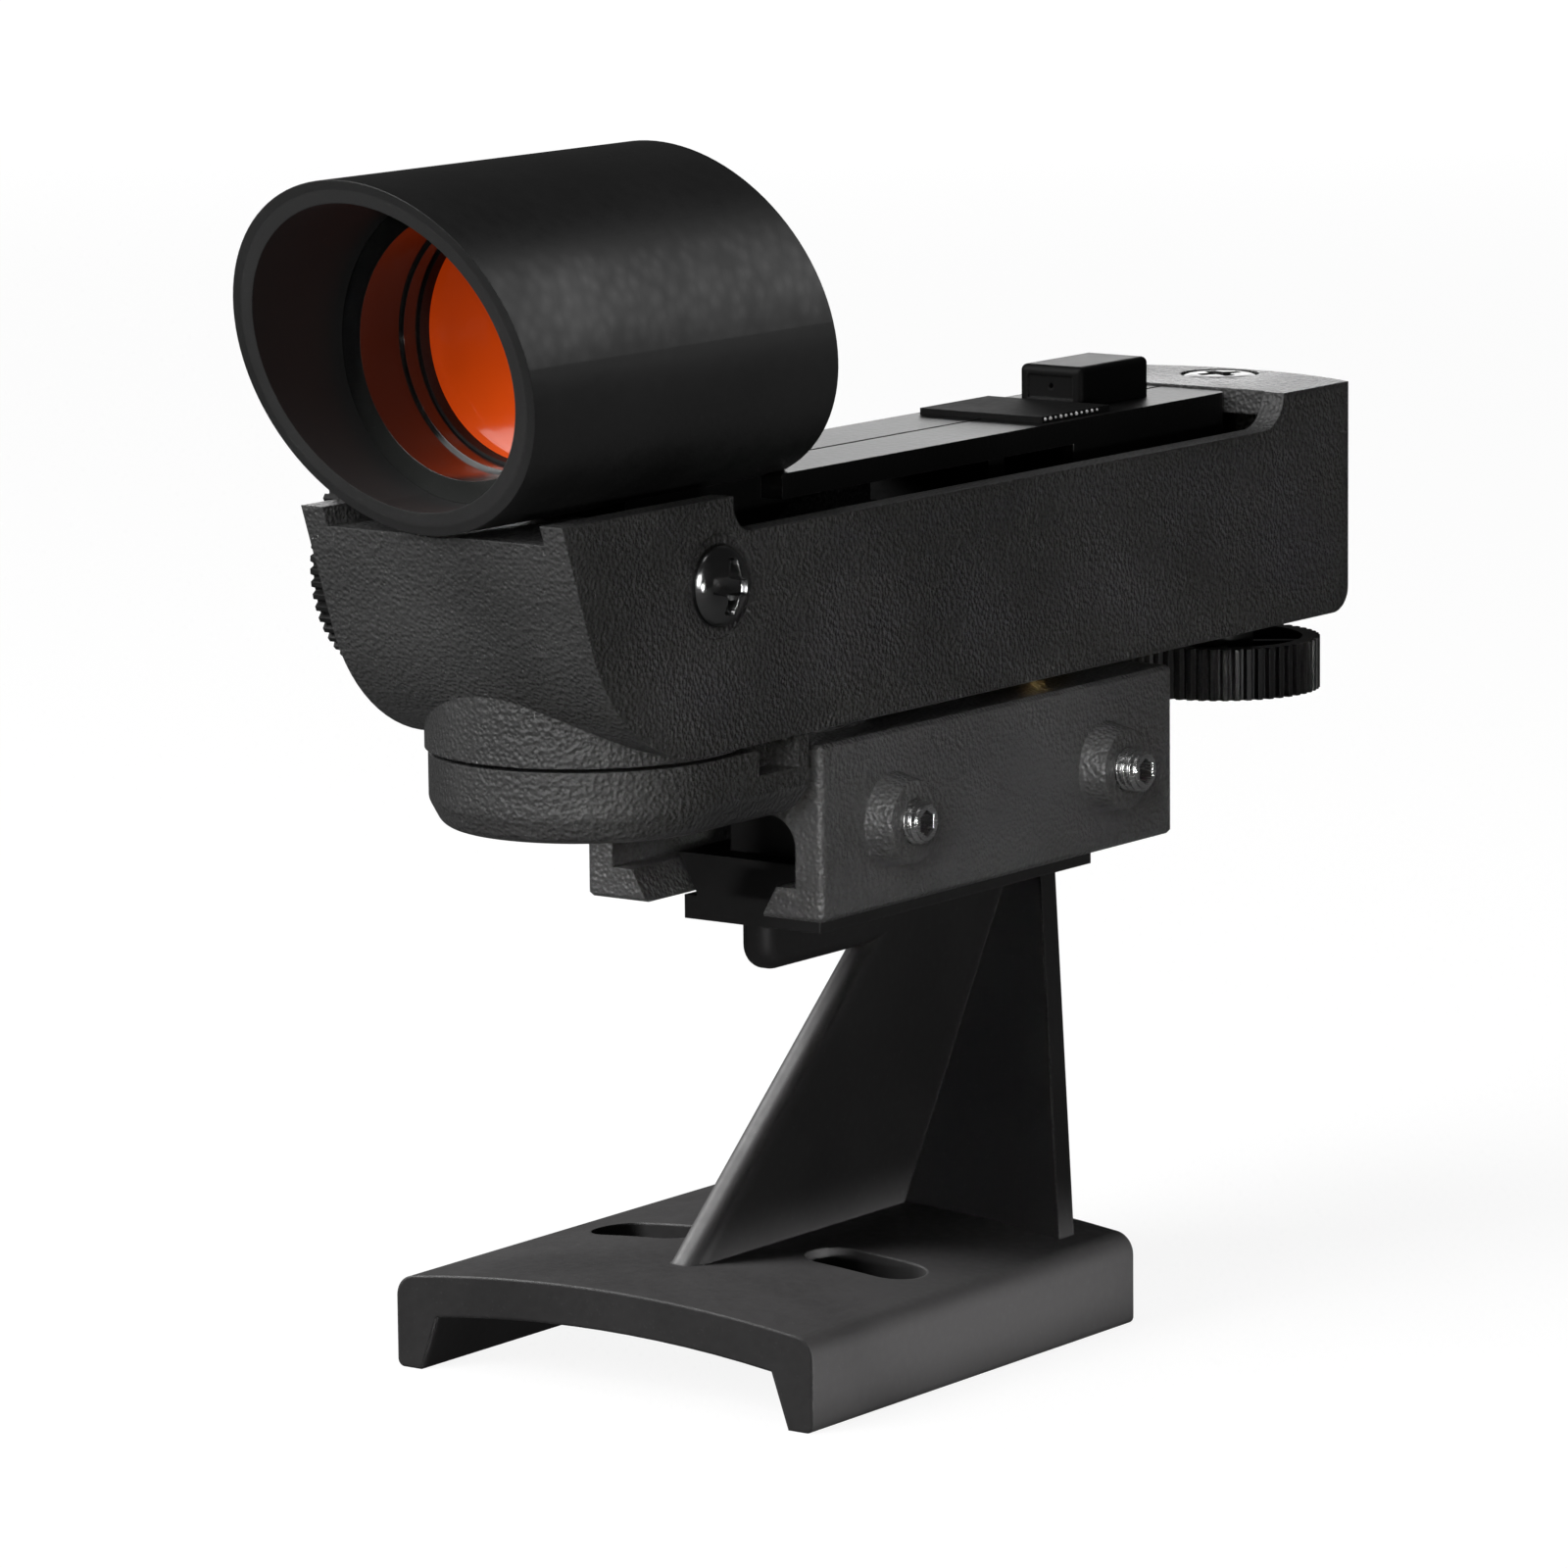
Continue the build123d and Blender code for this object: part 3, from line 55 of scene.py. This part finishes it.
# --- node materials ---------------------------------------------------------------------------------------
class Shader:
    """A small helper round one material's node tree."""

    def __init__(self, name):
        self.material = bpy.data.materials.new(name)
        self.material.use_nodes = True
        self.tree = self.material.node_tree
        self.bsdf = self.tree.nodes["Principled BSDF"]
        self.coord = self.add("ShaderNodeTexCoord").outputs["Object"]

    def add(self, kind, **settings):
        node = self.tree.nodes.new(kind)
        for key, value in settings.items():
            setattr(node, key, value)
        return node

    def feed(self, node, name, value):
        """Links an output to an input, or sets the input's own value."""
        socket = node.inputs[name]
        if isinstance(value, bpy.types.NodeSocket):
            self.tree.links.new(value, socket)
        else:
            socket.default_value = value

    def noise(self, per_mm, detail=3.0, roughness=0.55, stretch=None):
        """Noise with this many features in a millimetre, which stretch makes longer along an axis."""
        source = self.coord
        if stretch:
            mapping = self.add("ShaderNodeMapping")
            self.feed(mapping, "Vector", self.coord)
            mapping.inputs["Scale"].default_value = stretch
            source = mapping.outputs["Vector"]
        node = self.add("ShaderNodeTexNoise")
        self.feed(node, "Vector", source)
        self.feed(node, "Scale", per_mm / MM)
        self.feed(node, "Detail", detail)
        self.feed(node, "Roughness", roughness)
        return node.outputs["Fac"]

    def cells(self, per_mm, smooth=0.6):
        """Rounded cells, as on a leather-grained moulding."""
        node = self.add("ShaderNodeTexVoronoi", feature="SMOOTH_F1")
        self.feed(node, "Vector", self.coord)
        self.feed(node, "Scale", per_mm / MM)
        self.feed(node, "Smoothness", smooth)
        return node.outputs["Distance"]

    def math(self, operation, a, b=0.0):
        node = self.add("ShaderNodeMath", operation=operation)
        for socket, value in zip(node.inputs, (a, b)):
            if isinstance(value, bpy.types.NodeSocket):
                self.tree.links.new(value, socket)
            else:
                socket.default_value = value
        return node.outputs[0]

    def spread(self, value, low, high, start=0.0, end=1.0):
        """Maps start..end of a value onto low..high, and stops at both."""
        node = self.add("ShaderNodeMapRange")
        self.feed(node, "Value", value)
        self.feed(node, "From Min", start)
        self.feed(node, "From Max", end)
        self.feed(node, "To Min", low)
        self.feed(node, "To Max", high)
        return node.outputs["Result"]

    def mix(self, factor, dark, light):
        """A colour between two, by a factor."""
        node = self.add("ShaderNodeMix", data_type="RGBA")
        self.feed(node, "Factor", factor)
        for socket, value in ((node.inputs[6], dark), (node.inputs[7], light)):
            if isinstance(value, bpy.types.NodeSocket):
                self.tree.links.new(value, socket)
            else:
                socket.default_value = (*value, 1.0)
        return node.outputs[2]

    def inside_tube(self, radius_mm):
        """1 within this distance of the sight tube's axis, and 0 beyond it."""
        low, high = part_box("sight_tube")
        blend_mm = 0.1
        from_axis = self.add("ShaderNodeVectorMath", operation="SUBTRACT")
        self.tree.links.new(self.coord, from_axis.inputs[0])
        from_axis.inputs[1].default_value = (0.0, 0.0, (low.z + high.z) / 2)
        across = self.add("ShaderNodeVectorMath", operation="MULTIPLY")
        self.tree.links.new(from_axis.outputs["Vector"], across.inputs[0])
        across.inputs[1].default_value = (1.0, 0.0, 1.0)
        length = self.add("ShaderNodeVectorMath", operation="LENGTH")
        self.tree.links.new(across.outputs["Vector"], length.inputs[0])
        return self.spread(length.outputs["Value"], 1.0, 0.0, (radius_mm - blend_mm) * MM,
                           (radius_mm + blend_mm) * MM)

    def rounded_edges(self, radius_mm):
        """The normal of edges that are rounded by this radius."""
        node = self.add("ShaderNodeBevel", samples=4)
        self.feed(node, "Radius", radius_mm * MM)
        return node.outputs["Normal"]

    def edge_mask(self, rounded):
        """1 on the rounded edges and 0 on the flats."""
        dot = self.add("ShaderNodeVectorMath", operation="DOT_PRODUCT")
        self.tree.links.new(rounded, dot.inputs[0])
        self.tree.links.new(self.add("ShaderNodeNewGeometry").outputs["Normal"], dot.inputs[1])
        return self.spread(dot.outputs["Value"], 1.0, 0.0, 0.8, 0.995)

    def bump(self, heights, normal):
        """Adds (height, depth in mm) pairs one on another."""
        for height, depth in heights:
            node = self.add("ShaderNodeBump")
            self.feed(node, "Height", height)
            self.feed(node, "Distance", depth * MM)
            self.tree.links.new(normal, node.inputs["Normal"])
            normal = node.outputs["Normal"]
        return normal


def plastic(name, dark, light, rough, grain_mm, depth_mm, edge_mm=0.25, specular=0.5, coat=0.0, bore_mm=0.0,
            gloss_change=0.14):
    """A moulded black plastic: leather grain, slow gloss changes, and paler rubbed edges. A bore is left matt."""
    s = Shader(name)
    cells, fine, slow = s.cells(1 / grain_mm), s.noise(3.2, 4.0), s.noise(0.06, 2.0)
    rounded = s.rounded_edges(edge_mm)
    colour = s.mix(s.spread(slow, 0.0, 1.0, 0.35, 0.65), dark, light)
    specks = s.spread(fine, 0.0, 1.0, 0.62, 0.74)
    colour = s.mix(s.math("MULTIPLY", specks, 0.25), colour, tuple(3.0 * c for c in light))
    worn = s.math("MULTIPLY", s.edge_mask(rounded), s.spread(fine, 0.0, MOST_WEAR, 0.35, 0.6))
    colour = s.mix(worn, colour, RUBBED_EDGE)
    s.feed(s.bsdf, "Base Color", colour)
    gloss = s.spread(s.math("ADD", slow, s.math("MULTIPLY", cells, 0.5)), rough - gloss_change / 2,
                    rough + gloss_change / 2, 0.35, 0.95)
    if bore_mm:
        gloss = s.math("MAXIMUM", gloss, s.math("MULTIPLY", s.inside_tube(bore_mm), 0.85))
    s.feed(s.bsdf, "Roughness", gloss)
    s.feed(s.bsdf, "Specular IOR Level", specular)
    s.feed(s.bsdf, "Coat Weight", coat)
    s.feed(s.bsdf, "Coat Roughness", 0.12)
    s.feed(s.bsdf, "Normal", s.bump([(cells, depth_mm), (fine, depth_mm * 0.5)], rounded))
    return s.material


def metal(name, colour, rough, scratch_mm=0.004):
    """A turned or blackened metal with fine tool marks."""
    s = Shader(name)
    marks, slow = s.noise(0.7, 5.0, 0.6, stretch=(1.0, 1.0, 12.0)), s.noise(0.25, 2.0)
    rounded = s.rounded_edges(0.08)
    pale = tuple(min(1.0, 1.35 * c + 0.01) for c in colour)
    base = s.mix(s.spread(slow, 0.0, 1.0, 0.35, 0.7), colour, pale)
    edge = tuple(min(1.0, 2.0 * c + 0.03) for c in colour)
    base = s.mix(s.math("MULTIPLY", s.edge_mask(rounded), 0.35), base, edge)
    s.feed(s.bsdf, "Base Color", base)
    s.feed(s.bsdf, "Metallic", 1.0)
    s.feed(s.bsdf, "Roughness", s.spread(marks, rough * 0.75, rough * 1.3, 0.3, 0.7))
    s.feed(s.bsdf, "Normal", s.bump([(marks, scratch_mm)], rounded))
    return s.material


def coated_glass_painted_glow():
    """The lens: coated glass whose orange-red colour and painted glow (emission, though it is no lamp) stand in for
    the light its coating sends back; both are brighter toward its lower edge.
    """
    s = Shader("lens_coating_painted_glow")
    low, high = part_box("lens")
    split = s.add("ShaderNodeSeparateXYZ")
    s.feed(split, "Vector", s.coord)
    height = s.spread(split.outputs["Z"], 1.0, 0.0, low.z, high.z)
    clouds = s.noise(0.09, 2.0)
    # A blend that brightens toward the lower edge, used for both the colour and the painted glow.
    blend = s.math("ADD", s.math("MULTIPLY", height, 0.8), s.math("MULTIPLY", clouds, 0.35))
    s.feed(s.bsdf, "Base Color", s.mix(blend, (0.22, 0.018, 0.001), (0.75, 0.085, 0.006)))
    s.feed(s.bsdf, "Roughness", s.spread(clouds, 0.03, 0.07))
    s.feed(s.bsdf, "Metallic", 0.0)
    # Painted glow: the lens emits its own orange-red light, standing in for the light its coating reflects.
    s.feed(s.bsdf, "Emission Color", s.mix(blend, (0.30, 0.022, 0.001), (0.85, 0.075, 0.004)))
    s.feed(s.bsdf, "Emission Strength", 0.45)
    s.feed(s.bsdf, "Coat Weight", 1.0)
    s.feed(s.bsdf, "Coat Roughness", 0.02)
    return s.material


def circuit_board():
    """Solder mask over faint tracks."""
    s = Shader("solder_mask")
    tracks = s.noise(0.8, 1.0, 0.3, (6.0, 1.0, 1.0))
    copper = s.spread(tracks, 0.0, 1.0, 0.48, 0.52)
    s.feed(s.bsdf, "Base Color", s.mix(copper, (0.004, 0.03, 0.012), (0.01, 0.07, 0.03)))
    s.feed(s.bsdf, "Roughness", s.spread(s.noise(2.0), 0.25, 0.4))
    s.feed(s.bsdf, "Normal", s.bump([(tracks, 0.02)], s.rounded_edges(0.05)))
    return s.material


def red_epoxy():
    """The emitter's tinted resin."""
    s = Shader("emitter_resin")
    swirl = s.noise(1.5)
    s.feed(s.bsdf, "Base Color", s.mix(swirl, (0.35, 0.004, 0.002), (0.7, 0.02, 0.01)))
    s.feed(s.bsdf, "Roughness", s.spread(swirl, 0.06, 0.14))
    return s.material


def grey(level):
    """A neutral colour."""
    return (level, level, level)


GRAIN = plastic("grained_black", grey(0.022), grey(0.032), 0.40, 0.42, 0.20, specular=0.20)
CLAMP_GRAIN = plastic("clamp_black", grey(0.040), grey(0.056), 0.34, 0.42, 0.15, specular=0.50)
FOOT = plastic("foot_black", (0.015, 0.0145, 0.0147), (0.019, 0.0184, 0.0186), 0.52, 0.9, 0.010, edge_mm=0.35,
               specular=0.18)
TUBE = plastic("tube_black", grey(0.010), grey(0.013), 0.42, 1.4, 0.004, edge_mm=0.15, bore_mm=14.6)
RAIL = plastic("carriage_black", grey(0.003), grey(0.005), 0.46, 0.5, 0.020, edge_mm=0.15, specular=0.13,
               gloss_change=0.02)
KNOB = plastic("knob_black", grey(0.006), grey(0.010), 0.40, 0.5, 0.012, edge_mm=0.12, specular=0.2)
RING = plastic("ring_black", (0.010, 0.011, 0.010), (0.017, 0.018, 0.017), 0.16, 1.2, 0.003, edge_mm=0.08, coat=0.4)
HOOD = plastic("hood_black", grey(0.002), grey(0.003), 0.50, 1.5, 0.002, edge_mm=0.3, specular=0.10,
               gloss_change=0.04)
PAD = plastic("pad_black", grey(0.006), grey(0.009), 0.70, 0.7, 0.006, edge_mm=0.12, specular=0.05)
RUBBER = plastic("gasket_rubber", grey(0.006), grey(0.01), 0.7, 0.3, 0.01, edge_mm=0.1)
SCREW = metal("gloss_black_screw", grey(0.12), 0.20, 0.002)
DECK_SCREW = plastic("satin_black_screw", grey(0.012), grey(0.018), 0.34, 0.5, 0.003, edge_mm=0.05, specular=0.2)
SET_SCREW = metal("black_oxide", grey(0.42), 0.24, 0.004)
STEEL = metal("turned_steel", (0.50, 0.50, 0.51), 0.28)
BRASS = metal("turned_brass", (0.56, 0.39, 0.14), 0.26)
BEAD = plastic("bead_pale", grey(0.50), grey(0.65), 0.40, 0.2, 0.001, edge_mm=0.02)
LENS = coated_glass_painted_glow()
BOARD = circuit_board()
RESIN = red_epoxy()

MATERIALS = {
    "saddle_bracket": FOOT, "dovetail_clamp": CLAMP_GRAIN, "set_screw_front": SET_SCREW, "set_screw_rear": SET_SCREW,
    "azimuth_washer": STEEL, "azimuth_pivot_screw": STEEL, "azimuth_nut": STEEL, "azimuth_block": BRASS,
    "azimuth_screw": STEEL, "azimuth_knob": KNOB, "housing": GRAIN, "pivot_screw": SCREW, "pivot_nut": STEEL,
    "pivot_spacer_left": STEEL, "pivot_spacer_right": STEEL, "battery_cover": GRAIN, "coin_cell": STEEL,
    "battery_contact": STEEL, "brightness_dial": KNOB, "dimmer": RAIL, "control_board": BOARD, "sight_tube": TUBE,
    "lens_retaining_ring": RING, "lens_spacer_ring": RING, "lens_gasket": RUBBER, "lens": LENS,
    "carriage_frame": RAIL, "altitude_nut": BRASS, "altitude_wheel": KNOB, "altitude_washer": STEEL,
    "altitude_screw": SCREW, "altitude_spring": STEEL, "antiglare_pad": PAD, "emitter_hood": HOOD,
    "emitter_board": BOARD, "emitter": RESIN,
}


def paint(piece, material):
    """Gives every slot of a piece one material."""
    if not piece.data.materials:
        piece.data.materials.append(material)
    for i in range(len(piece.data.materials)):
        piece.data.materials[i] = material


for node, material in MATERIALS.items():
    paint(NODES[node], material)


# --- pieces made in mesh code ------------------------------------------------------------------------------
def stacked_rings(name, rings, axis, origin, material, body, node, smooth_to=35.0):
    """A closed piece from rings of points, first to last, with a cap on each end.

    A ring is a list of (x, y, z) in millimetres about a local Z axis, which axis turns to the object's own.
    """
    mesh = bmesh.new()
    turn = Vector((0.0, 0.0, 1.0)).rotation_difference(Vector(axis)).to_matrix()
    rows = [[mesh.verts.new((turn @ Vector(point) + Vector(origin)) * MM) for point in ring] for ring in rings]
    count = len(rows[0])
    for lower, upper in zip(rows, rows[1:]):
        for i in range(count):
            j = (i + 1) % count
            mesh.faces.new((lower[i], lower[j], upper[j], upper[i]))
    mesh.faces.new(list(reversed(rows[0])))
    mesh.faces.new(rows[-1])
    bmesh.ops.recalc_face_normals(mesh, faces=mesh.faces)
    data = bpy.data.meshes.new(name)
    mesh.to_mesh(data)
    mesh.free()
    data.shade_smooth()
    data.set_sharp_from_angle(angle=radians(smooth_to))
    piece = bpy.data.objects.new(name, data)
    bpy.context.scene.collection.objects.link(piece)
    piece.data.materials.append(material)
    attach(piece, body)
    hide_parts(node)
    return piece


def round_ring(radius, height, count=48):
    """A circle of points."""
    return [(radius * cos(2 * pi * i / count), radius * sin(2 * pi * i / count), height) for i in range(count)]


def hexagon_ring(flats, height, count=48):
    """A hexagon of points, with corners where the round rings have points too."""
    points = []
    for i in range(count):
        angle = 2 * pi * i / count
        from_flat = (angle % (pi / 3)) - pi / 6
        radius = flats / 2 / cos(from_flat)
        points.append((radius * cos(angle), radius * sin(angle), height))
    return points


def threaded_ring(radius, height, pitch, depth, limit, count=48):
    """A circle whose radius follows a screw thread, and never passes a limit."""
    points = []
    for i in range(count):
        angle = 2 * pi * i / count
        phase = (height / pitch - i / count) % 1.0
        groove = min(1.0, max(0.0, 1.6 * abs(2.0 * phase - 1.0) - 0.3))
        r = min(radius - depth * groove, limit)
        points.append((r * cos(angle), r * sin(angle), height))
    return points


def make_set_screw(node, body):
    """A threaded socket set screw, with a chamfer at both ends and a hexagonal socket in the outer one."""
    low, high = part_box(node)
    middle_y, middle_z = (low.y + high.y) / 2 / MM, (low.z + high.z) / 2 / MM
    length, radius = (high.x - low.x) / MM, (high.z - low.z) / 2 / MM
    pitch, depth, chamfer = 0.7, 0.38, 0.4
    flats, socket = 2.0, 2.2
    rings_a_turn = 14
    turns = int(length / pitch * rings_a_turn)
    rings = [round_ring(0.3, 0.0)]
    for i in range(turns + 1):
        height = length * i / turns
        limit = radius - max(0.0, chamfer - min(height, length - height))
        rings.append(threaded_ring(radius, height, pitch, depth, limit))
    rings += [round_ring(radius - chamfer - 0.15, length), hexagon_ring(flats + 0.25, length),
              hexagon_ring(flats, length - 0.12), hexagon_ring(flats, length - socket),
              round_ring(0.25, length - socket - 0.4)]
    origin = (low.x / MM, middle_y, middle_z)
    return stacked_rings(node + "_threaded", rings, (1, 0, 0), origin, SET_SCREW, body, node)


def recess_depth(x, y, reach, deepest):
    """How deep a cross recess is at this place in a screw's head: four wings with round inner corners."""
    radius = (x * x + y * y) ** 0.5
    if radius >= reach:
        return 0.0
    wing, fillet, wall, rim = 0.27 * reach, 0.20 * reach, 0.07 * reach, 0.09 * reach
    half_width = wing + fillet * exp(-((2.2 * radius / reach) ** 2))
    inside = min(1.0, max(0.0, (half_width - min(abs(x), abs(y))) / wall))
    floor = deepest * (1.0 - 0.62 * (radius / reach) ** 1.5) * min(1.0, (reach - radius) / rim)
    return floor * inside * inside * (3.0 - 2.0 * inside)


def make_cross_screw(node, body, material, axis, seat, head_height, dome, reach, shank_r, turned):
    """A screw with a domed head and a cross recess.

    The seat is how far along the axis the head begins. A high dome number makes the head flat with a tight edge. The
    recess reaches this far from the middle, and is turned by an angle.
    """
    head_r = CROSS_HEAD_R
    low, high = (tuple(v / MM for v in corner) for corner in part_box(node))
    along = [i for i in range(3) if axis[i]][0]
    origin = [(a + b) / 2 for a, b in zip(low, high)]
    origin[along] = low[along]
    shank = seat - low[along]
    count, rings_out, rings_in = 144, 14, 56
    chamfer, undercut, lip, edge_angle = 0.3, 0.1, 0.08, pi / 2 * 0.45
    rings = [round_ring(shank_r - chamfer, 0.0, count), round_ring(shank_r, chamfer, count),
             round_ring(shank_r, shank, count), round_ring(head_r - undercut, shank, count),
             round_ring(head_r, shank + lip, count)]
    radii = [head_r * cos(edge_angle * i / rings_out) for i in range(1, rings_out + 1)]
    radii += [radii[-1] * (1 - (i + 1) / (rings_in + 1)) for i in range(rings_in)]
    for radius in radii:
        rise = lip + (head_height - lip) * (1 - (radius / head_r) ** dome) ** (1 / dome)
        ring = []
        for i in range(count):
            angle = 2 * pi * i / count
            x, y = radius * cos(angle), radius * sin(angle)
            turned_x = x * cos(turned) - y * sin(turned)
            turned_y = x * sin(turned) + y * cos(turned)
            depth = recess_depth(turned_x, turned_y, reach, 0.72 * head_height)
            ring.append((x, y, shank + rise - depth))
        rings.append(ring)
    return stacked_rings(node + "_crossed", rings, axis, origin, material, body, node)


def make_pad_beads():
    """A row of small pale beads along the pad's right edge."""
    low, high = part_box("antiglare_pad")
    count, radius = 11, 0.15
    start_y, end_y = low.y / MM + 0.5, low.y / MM + 9.0
    edge_x = high.x / MM + 0.05
    middle_z = low.z / MM + 2.4 * radius
    mesh = bmesh.new()
    for i in range(count):
        y = start_y + (end_y - start_y) * i / (count - 1)
        place = Matrix.Translation(Vector((edge_x, y, middle_z)) * MM)
        size = radius * (1.0 + 0.18 * sin(2.4 * i))
        bmesh.ops.create_icosphere(mesh, subdivisions=3, radius=size * MM, matrix=place)
    data = bpy.data.meshes.new("pad_beads")
    mesh.to_mesh(data)
    mesh.free()
    data.shade_smooth()
    beads = bpy.data.objects.new("pad_beads", data)
    bpy.context.scene.collection.objects.link(beads)
    beads.data.materials.append(BEAD)
    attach(beads, "carriage")


# --- stage, light and camera -----------------------------------------------------------------------------------
def seen_and_bounced(s, seen, bounced):
    """One level for what the lens sees directly, and a dimmer one for what lights the object."""
    ray = s.nodes.new("ShaderNodeLightPath").outputs["Is Camera Ray"]
    level = s.nodes.new("ShaderNodeMapRange")
    s.links.new(ray, level.inputs["Value"])
    level.inputs["To Min"].default_value = bounced
    level.inputs["To Max"].default_value = seen
    return level.outputs["Result"]


def make_stage():
    """A pale floor under the two runners, which throws little light back up."""
    mesh = bpy.data.meshes.new("floor")
    size = 6.0
    mesh.from_pydata([(-size, -size, 0), (size, -size, 0), (size, size, 0), (-size, size, 0)], [], [(0, 1, 2, 3)])
    floor = bpy.data.objects.new("floor", mesh)
    bpy.context.scene.collection.objects.link(floor)
    s = Shader("pale_floor")
    s.feed(s.bsdf, "Base Color", (FLOOR_ALBEDO, FLOOR_ALBEDO, FLOOR_ALBEDO, 1.0))
    s.feed(s.bsdf, "Roughness", 0.9)
    s.feed(s.bsdf, "Specular IOR Level", 0.0)
    s.feed(s.bsdf, "Emission Color", (1.0, 1.0, 1.0, 1.0))
    s.tree.links.new(seen_and_bounced(s.tree, FLOOR_SEEN, FLOOR_BOUNCED), s.bsdf.inputs["Emission Strength"])
    floor.data.materials.append(s.material)


def area_light(name, place, target, size, power, spread=180.0):
    """A soft rectangular light aimed at a point, in metres, watts and degrees."""
    data = bpy.data.lights.new(name, "AREA")
    data.shape = "RECTANGLE"
    data.size, data.size_y = size
    data.energy = power
    data.spread = radians(spread)
    light = bpy.data.objects.new(name, data)
    light.location = place
    light.rotation_euler = (Vector(place) - Vector(target)).to_track_quat("Z", "Y").to_euler()
    light.visible_camera = False
    bpy.context.scene.collection.objects.link(light)
    return light


def link_light(light, pieces, state):
    """Keeps a light on these pieces alone (INCLUDE), or off them (EXCLUDE)."""
    linked = bpy.data.collections.new(light.name + "_linked")
    light.light_linking.receiver_collection = linked
    for piece in pieces:
        linked.objects.link(piece)
    for entry in linked.collection_objects:
        entry.light_linking.link_state = state


def make_world(seen, bounced):
    world = bpy.data.worlds.new("studio")
    world.use_nodes = True
    background = world.node_tree.nodes["Background"]
    background.inputs["Color"].default_value = (1.0, 1.0, 1.0, 1.0)
    world.node_tree.links.new(seen_and_bounced(world.node_tree, seen, bounced), background.inputs["Strength"])
    bpy.context.scene.world = world


def make_camera():
    """The photograph's viewpoint: a long lens, to the right of the sight's front and a little above."""
    place = Vector((422.68, -588.42, 170.68)) * MM
    azimuth, elevation, roll = radians(36.11), radians(9.58), radians(-0.59)
    data = bpy.data.cameras.new("camera")
    data.sensor_width = 36.0
    data.lens = 186.2
    data.shift_x, data.shift_y = -0.0041, 0.0076
    data.clip_start, data.clip_end = 0.01, 50.0
    camera = bpy.data.objects.new("camera", data)
    turn = Matrix.Rotation(azimuth, 4, "Z") @ Matrix.Rotation(pi / 2 - elevation, 4, "X")
    camera.matrix_world = Matrix.Translation(place) @ turn @ Matrix.Rotation(roll, 4, "Z")
    bpy.context.scene.collection.objects.link(camera)
    bpy.context.scene.camera = camera


CROSS_HEAD_R = 3.65
SET_SCREWS = [make_set_screw(node, node) for node in ("set_screw_front", "set_screw_rear")]
PIVOT = make_cross_screw("pivot_screw", "housing", SCREW, axis=(1, 0, 0), seat=13.7, head_height=1.95, dome=2.05,
                         reach=2.5, shank_r=2.0, turned=0.12)
make_cross_screw("altitude_screw", "altitude_drive", DECK_SCREW, axis=(0, 0, 1), seat=79.75, head_height=0.98,
                 dome=5.0, reach=2.2, shank_r=1.5, turned=0.5)
make_pad_beads()

FLOOR_ALBEDO, FLOOR_SEEN, FLOOR_BOUNCED = 0.12, 0.9, 0.01
WORLD_SEEN, WORLD_BOUNCED = 1.0, 0.045
make_stage()
make_world(WORLD_SEEN, WORLD_BOUNCED)

SIGHT, TUBE_MIDDLE, FOOT_MIDDLE = (0.0, 0.0, 0.06), (0.0, -0.045, 0.095), (0.02, -0.013, 0.006)
FOOT_NODE, TUBE_NODE, RING_NODE = NODES["saddle_bracket"], NODES["sight_tube"], NODES["lens_retaining_ring"]
FRONT_LIT = [NODES["housing"], NODES["battery_cover"], NODES["dovetail_clamp"], PIVOT] + SET_SCREWS

# Each light: its place and target in metres, its size, its power in watts, and the pieces that it leaves out or is
# kept on.
for name, place, target, size, power, pieces, state in (
    ("front_left", (-0.28, -0.72, 0.52), SIGHT, (0.5, 0.5), 9.5, [FOOT_NODE], "EXCLUDE"),
    ("back_right", (0.80, 1.15, 0.48), TUBE_MIDDLE, (0.6, 1.1), 4.4, [TUBE_NODE, RING_NODE], "INCLUDE"),
    ("back_left", (-1.05, 1.45, 0.36), SIGHT, (1.2, 0.40), 10.0, [TUBE_NODE, FOOT_NODE, NODES["altitude_wheel"]],
     "EXCLUDE"),
    ("overhead", (-0.22, -0.35, 1.2), SIGHT, (0.7, 0.7), 7.0, [TUBE_NODE], "EXCLUDE"),
    ("front_right", (0.26, -0.62, 0.26), SIGHT, (0.3, 0.3), 3.9, FRONT_LIT, "INCLUDE"),
    ("foot_fill", (-1.0, -0.35, 0.85), FOOT_MIDDLE, (0.6, 0.6), 70.0, [FOOT_NODE], "INCLUDE"),
):
    link_light(area_light(name, place, target, size, power), pieces, state)

# Two narrow lights close to the floor: one on the foot's right side, and one on its web.
area_light("low_right", (0.20, -0.013, 0.005), (0.0, -0.013, 0.005), (0.07, 0.009), 0.0065, spread=3.0)
area_light("low_front_right", (0.90, -0.75, 0.05), (0.005, -0.02, 0.03), (0.30, 0.06), 0.06, spread=10.0)

make_camera()
bpy.context.scene.view_settings.view_transform = "Standard"
